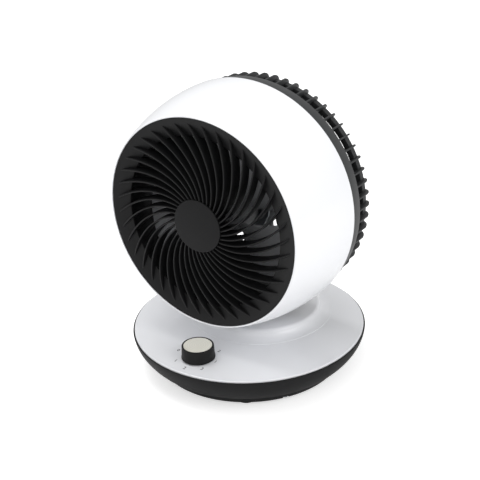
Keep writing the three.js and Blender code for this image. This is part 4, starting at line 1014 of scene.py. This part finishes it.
class FAN_OT_duct(Operator):
    """Model the tube that the blade turns in, with its screw bosses"""

    bl_idname = "fan.duct"
    bl_label = "Air duct"

    def execute(self, context):
        rear, front = HOOP_FRONT + GAP, FUNNEL_FACE - WALL - GAP
        inside, outside = DUCT_RADIUS, DUCT_RADIUS + WALL
        tube = turned([(inside, rear), (outside, rear, 0.4), (outside, front, 0.4), (inside, front)], FINE)
        bosses = screw_posts(4.2, rear, rear + 14, 0.3)
        in_head("duct_tube", joined(tube, bosses), "black_plastic", ["air_duct"])
        return {"FINISHED"}


def fin(inner_end, thickness):
    """A flat fin standing on the x axis: back from the band, round a corner and inwards."""
    inner, outer, band_rear = 105.5, 111.9, -21
    shape = plate(
        [
            (inner, band_rear),
            (outer, band_rear),
            *curve([(outer, FIN_REAR + 8.5), (110.4, FIN_REAR), (103.4, FIN_REAR)], 8),
            (inner_end, FIN_REAR),
            (inner_end, FIN_FRONT),
            (inner, FIN_FRONT, 0.8),
        ],
        thickness,
    )
    return placed(rounded(shape, 0.35), about("X", 90))


class FAN_OT_rear_grille(Operator):
    """Model the grey rear grille: its band, hoops, mounting plate and radial fins"""

    bl_idname = "fan.rear_grille"
    bl_label = "Rear grille"

    def execute(self, context):
        thickness = mm(context.scene.fan_sizes.fin_thickness)
        band = turned(
            [
                (111.19, -9.5),
                (111.19, 3.5, 0.3),
                (113.39, 3.5, 0.5),
                (113.39, -7.5),
                (115, -7.5, 0.5),
                (114.8, -12.2, 3),
                (113, -23, 0.6),
                (110.8, -23, 0.3),
            ],
            FINE,
        )
        # The slot at the bottom that the neck needs as the head tilts.
        slot = bmesh.new()
        slot_box = at(0, -105.6, -19.2) @ Matrix.Diagonal((36, 23, 22.6, 1))
        bmesh.ops.create_cube(slot, size=1, matrix=slot_box)
        band = cut(band, slot.copy())

        hoops = []
        for inner, outer in ((101, 107), (80, 84)):
            corners = (inner, HOOP_REAR), (outer, HOOP_REAR), (outer, HOOP_FRONT), (inner, HOOP_FRONT)
            hoops.append(turned([(*corner, 0.5) for corner in corners], FINE))
        mounting = turned([(0, -48), (36, -48, 0.8), (36, -45, 0.4), (0, -45)], MEDIUM)
        pads = screw_posts(5.2, HOOP_REAR, HOOP_FRONT, 0.4)

        # Every other fin runs in to the mounting plate, and the rest end at the outer hoop.
        fins = []
        for number in range(60):
            angle = 6 * number
            inner_end = 35 if number % 2 else 101
            one = placed(fin(inner_end, thickness), about("Z", angle))
            if angle in (264, 270, 276):  # those that cross the slot
                one = cut(one, slot.copy())
            fins.append(one)
        slot.free()
        whole = joined(band, *hoops, mounting, pads, *fins)
        in_head("finned_grille", whole, "dark_grey_plastic", ["rear_grille"])
        return {"FINISHED"}


class FAN_OT_head_screws(Operator):
    """Model the screws behind the rear grille and behind the motor"""

    bl_idname = "fan.head_screws"
    bl_label = "Head screws"

    def execute(self, context):
        for kind, node, circle, seat, reach in (
            ("rear_screw", "grille_screw", GRILLE_SCREW_CIRCLE, HOOP_REAR - GAP, 15),
            ("hub_screw", "motor_screw", MOTOR_SCREW_CIRCLE, -48.3, 7),
        ):
            for number, degrees in enumerate(HEAD_SCREW_ANGLES, start=1):
                place = at(*polar(circle, radians(degrees)), seat) @ about("X", 180)
                screw = placed(pan_screw(reach), place)
                in_head(f"{kind}_{number}", screw, "zinc_plate", [f"{node}_{number}"])
        return {"FINISHED"}


class FAN_OT_motor(Operator):
    """Model the motor's can behind the blade"""

    bl_idname = "fan.motor"
    bl_label = "Motor can"

    def execute(self, context):
        rear, front, sheet = -44.7, 4.6, 1.6
        can = turned(
            [
                (0, rear),
                (33, rear, 2),
                (33, front, 0.3),
                (31.4, front),
                (31.4, rear + sheet),
                (9.9, rear + sheet),
                (9.9, rear + 5.6),
                (8.3, rear + 5.6),
                (8.3, rear + sheet),
                (0, rear + sheet),
            ],
            MEDIUM,
        )
        in_head("motor_cup", can, "iron", ["motor_can"])
        return {"FINISHED"}


# The blades: how many, the first one's angle, root and tip radii, thickness, and place along the axis at
# the root. They are BLADE_WIDTH degrees wide, and BLADE_SPREAD more halfway out; towards the tip they lean
# on by BLADE_LEAN degrees and stand BLADE_RAKE mm further forward.
BLADES, BLADE_ANGLE = 5, 34
BLADE_ROOT, BLADE_TIP, BLADE_THICKNESS, BLADE_MIDDLE = 24.5, 80, 2.2, 31
BLADE_WIDTH, BLADE_SPREAD, BLADE_LEAN, BLADE_RAKE = 62, 4, 12, 8


def blade_point(across, out):
    """A point on a blade's middle surface, from its leading to its trailing edge and out to the tip."""
    radius = BLADE_ROOT + (BLADE_TIP - BLADE_ROOT) * out
    tip_rounding = 0.14 * max(0, (out - 0.8) / 0.2) ** 2
    across = 0.5 + (across - 0.5) * (1 - tip_rounding)
    width = radians(BLADE_WIDTH + BLADE_SPREAD * sin(pi * out))
    angle = radians(BLADE_LEAN) * out + width * (across - 0.5)
    rise = 34 * (0.82 - 0.3 * out)
    belly = 3 * sin(pi * across)
    height = BLADE_MIDDLE + BLADE_RAKE * out + rise * (across - 0.5) + belly
    return Vector((*polar(radius, angle), height))


class FAN_OT_blade(Operator):
    """Model the five-bladed impeller and the nut on its shaft"""

    bl_idname = "fan.blade"
    bl_label = "Blade"

    def execute(self, context):
        blade = bmesh.new()
        bmesh.ops.create_grid(blade, x_segments=18, y_segments=16, size=0.5)
        for v in blade.verts:
            v.co = blade_point(v.co.x + 0.5, v.co.y + 0.5) - Vector((0, 0, BLADE_THICKNESS / 2))
        blade = rounded(thickened(blade, BLADE_THICKNESS), 0.7)
        blades = placed(repeated(blade, BLADES), about("Z", BLADE_ANGLE))
        hub = turned(
            [
                (4.3, 49.6),
                (21.5, 49.6, 1),
                (25, 48, 1.2),
                (26, 44, 2),
                (26, 14, 0.4),
                (23.6, 14),
                (23.6, 46.8),
                (7.5, 46.8),
                (7.5, 23.6),
                (4.3, 23.6),
            ],
            MEDIUM,
        )
        in_head("impeller", joined(hub, blades), "blade_plastic", ["fan_blade"], body="blade")

        nut = turned([(0, 49.9), (9, 49.9), (9, 55, 2), (7.6, 58.3, 1.5), (4, 59.8, 2), (0, 59.9)], MEDIUM)
        in_head("shaft_nut", nut, "black_plastic", ["spinner_nut"], body="blade")
        return {"FINISHED"}


# ---- Pieces that keep the frame's own shape ----

PLAIN_NODES = {
    "zinc_plate": ("swing_motor", "motor_cover", "tilt_bracket", "bracket_screw_1", "bracket_screw_2"),
    "steel": (
        *("switch_spindle", "swing_spindle", "shaft_ring", "tilt_pin", "tilt_nut"),
        *("rear_bearing", "front_bearing", "motor_shaft"),
    ),
    "iron": ("ballast_ring", "rotor_core"),
    "core_and_winding": ("stator",),
    "nylon": ("swing_gear", "swing_pinion", "slide_washer", "tilt_washer_left", "tilt_washer_right"),
    "black_satin": ("rotary_switch",),
}


class FAN_OT_finishes(Operator):
    """Give each piece that keeps the frame's shape its finish"""

    bl_idname = "fan.finishes"
    bl_label = "Inner finishes"

    def execute(self, context):
        for slot, names in PLAIN_NODES.items():
            for name in names:
                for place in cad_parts[name].material_slots:
                    place.material = finish(slot)
        return {"FINISHED"}


# ---- Studio ----

# Each soft light: its place and what it is aimed at in metres, its side in metres and its power in watts.
LIGHTS = {
    "top": ((-0.5, -0.05, 1.6), (0, 0, 0.15), 0.8, 9),
    "right": ((1.6, -0.1, 1.1), (0, 0, 0.15), 1.2, 12.5),
    "left": ((-1.5, -0.6, 1.0), (0, 0, 0.15), 1.3, 4),
    "front": ((0.5, -1.5, 1.15), (0, 0, 0.17), 0.9, 4.5),
}

# The camera: the point it looks at and its distance from it in metres, and its turn, height angle and roll.
AIM, DISTANCE = (-0.0431, 0.0519, 0.0975), 1.15
TURN, HEIGHT_ANGLE, ROLL = 35.03, 25.27, -2.43


def floor_finish(shade):
    """A matt painted floor; it shows a little brighter than it is, so that it meets the white around it."""
    material, tree, place = new_finish("Matt white floor")
    paint = add_node(tree, "ShaderNodeTexNoise", {"Vector": place, "Scale": 3.0, "Detail": 2.0})
    ray = add_node(tree, "ShaderNodeLightPath").outputs["Is Camera Ray"]
    lift = add_node(tree, "ShaderNodeMath", {0: ray, 1: 0.5}, operation="MULTIPLY")
    inputs = {
        "Roughness": 0.9,
        "Specular IOR Level": 0.2,
        "Emission Color": (1, 1, 1, 1),
        "Emission Strength": lift.outputs[0],
    }
    dress(tree, paint.outputs["Fac"], shade, 0.99, inputs)
    return material


class FAN_OT_studio(Operator):
    """Set up the pale floor, the white surroundings, the soft lights and the camera"""

    bl_idname = "fan.studio"
    bl_label = "Studio"

    def execute(self, context):
        scene = context.scene
        floor = bmesh.new()
        bmesh.ops.create_grid(floor, x_segments=1, y_segments=1, size=12)
        mesh = new_mesh("floor", floor)
        mesh.materials.append(floor_finish(tuple(scene.fan_colours.floor)))
        ground = new_object("floor", mesh)

        world = bpy.data.worlds.new("studio")
        scene.world = world
        world.use_nodes = True
        tree = world.node_tree
        tree.nodes.clear()
        # Seen directly, the surroundings are plain white; as light they are a little over half as strong.
        light = add_node(tree, "ShaderNodeBackground", {"Color": (1, 1, 1, 1), "Strength": 0.58})
        seen = add_node(tree, "ShaderNodeBackground", {"Color": (1, 1, 1, 1), "Strength": 1.0})
        ray = add_node(tree, "ShaderNodeLightPath").outputs["Is Camera Ray"]
        mix = add_node(tree, "ShaderNodeMixShader", {0: ray, 1: light.outputs[0], 2: seen.outputs[0]})
        add_node(tree, "ShaderNodeOutputWorld", {"Surface": mix.outputs[0]})

        for name, (place, aim, side, power) in LIGHTS.items():
            lamp = bpy.data.lights.new(name, "AREA")
            lamp.size = side
            lamp.energy = power
            carrier = new_object(name, lamp)
            carrier.location = place
            carrier.rotation_euler = (Vector(place) - Vector(aim)).to_track_quat("Z", "Y").to_euler()

        camera = bpy.data.cameras.new("camera")
        camera.sensor_width = 36
        camera.lens = 83.03
        camera.clip_end = 50
        eye = new_object("camera", camera)
        turn = about("Z", TURN) @ about("X", 90 - HEIGHT_ANGLE) @ about("Z", ROLL)
        eye.matrix_world = at(*AIM) @ turn @ at(0, 0, DISTANCE)
        scene.camera = eye
        scene.view_settings.view_transform = "Standard"
        return {"FINISHED"}


# ---- Add-on ----

OPERATORS = (
    FAN_OT_bowl,
    FAN_OT_feet,
    FAN_OT_base_screws,
    FAN_OT_cover,
    FAN_OT_dial,
    FAN_OT_knob,
    FAN_OT_swivel,
    FAN_OT_shell,
    FAN_OT_front_grille,
    FAN_OT_duct,
    FAN_OT_rear_grille,
    FAN_OT_head_screws,
    FAN_OT_motor,
    FAN_OT_blade,
    FAN_OT_finishes,
    FAN_OT_studio,
)


class FAN_PT_sidebar(Panel):
    """Lists the fan's pieces, sizes and colours"""

    bl_idname = "FAN_PT_sidebar"
    bl_label = "Table air circulator"
    bl_space_type = "VIEW_3D"
    bl_region_type = "UI"
    bl_category = "Fan"

    def draw(self, context):
        column = self.layout.column()
        for group in (context.scene.fan_sizes, context.scene.fan_colours):
            for key in group.bl_rna.properties.keys():
                if key not in ("rna_type", "name"):
                    column.prop(group, key)
        for operator in OPERATORS:
            column.operator(operator.bl_idname)


CLASSES = (FanSizes, FanColours, *OPERATORS, FAN_PT_sidebar)


def register():
    for cls in CLASSES:
        bpy.utils.register_class(cls)
    bpy.types.Scene.fan_sizes = PointerProperty(type=FanSizes)
    bpy.types.Scene.fan_colours = PointerProperty(type=FanColours)


def unregister():
    del bpy.types.Scene.fan_colours
    del bpy.types.Scene.fan_sizes
    for cls in reversed(CLASSES):
        bpy.utils.unregister_class(cls)


def main():
    register()
    for operator in OPERATORS:
        package, name = operator.bl_idname.split(".")
        getattr(getattr(bpy.ops, package), name)()


if __name__ == "__main__":
    main()
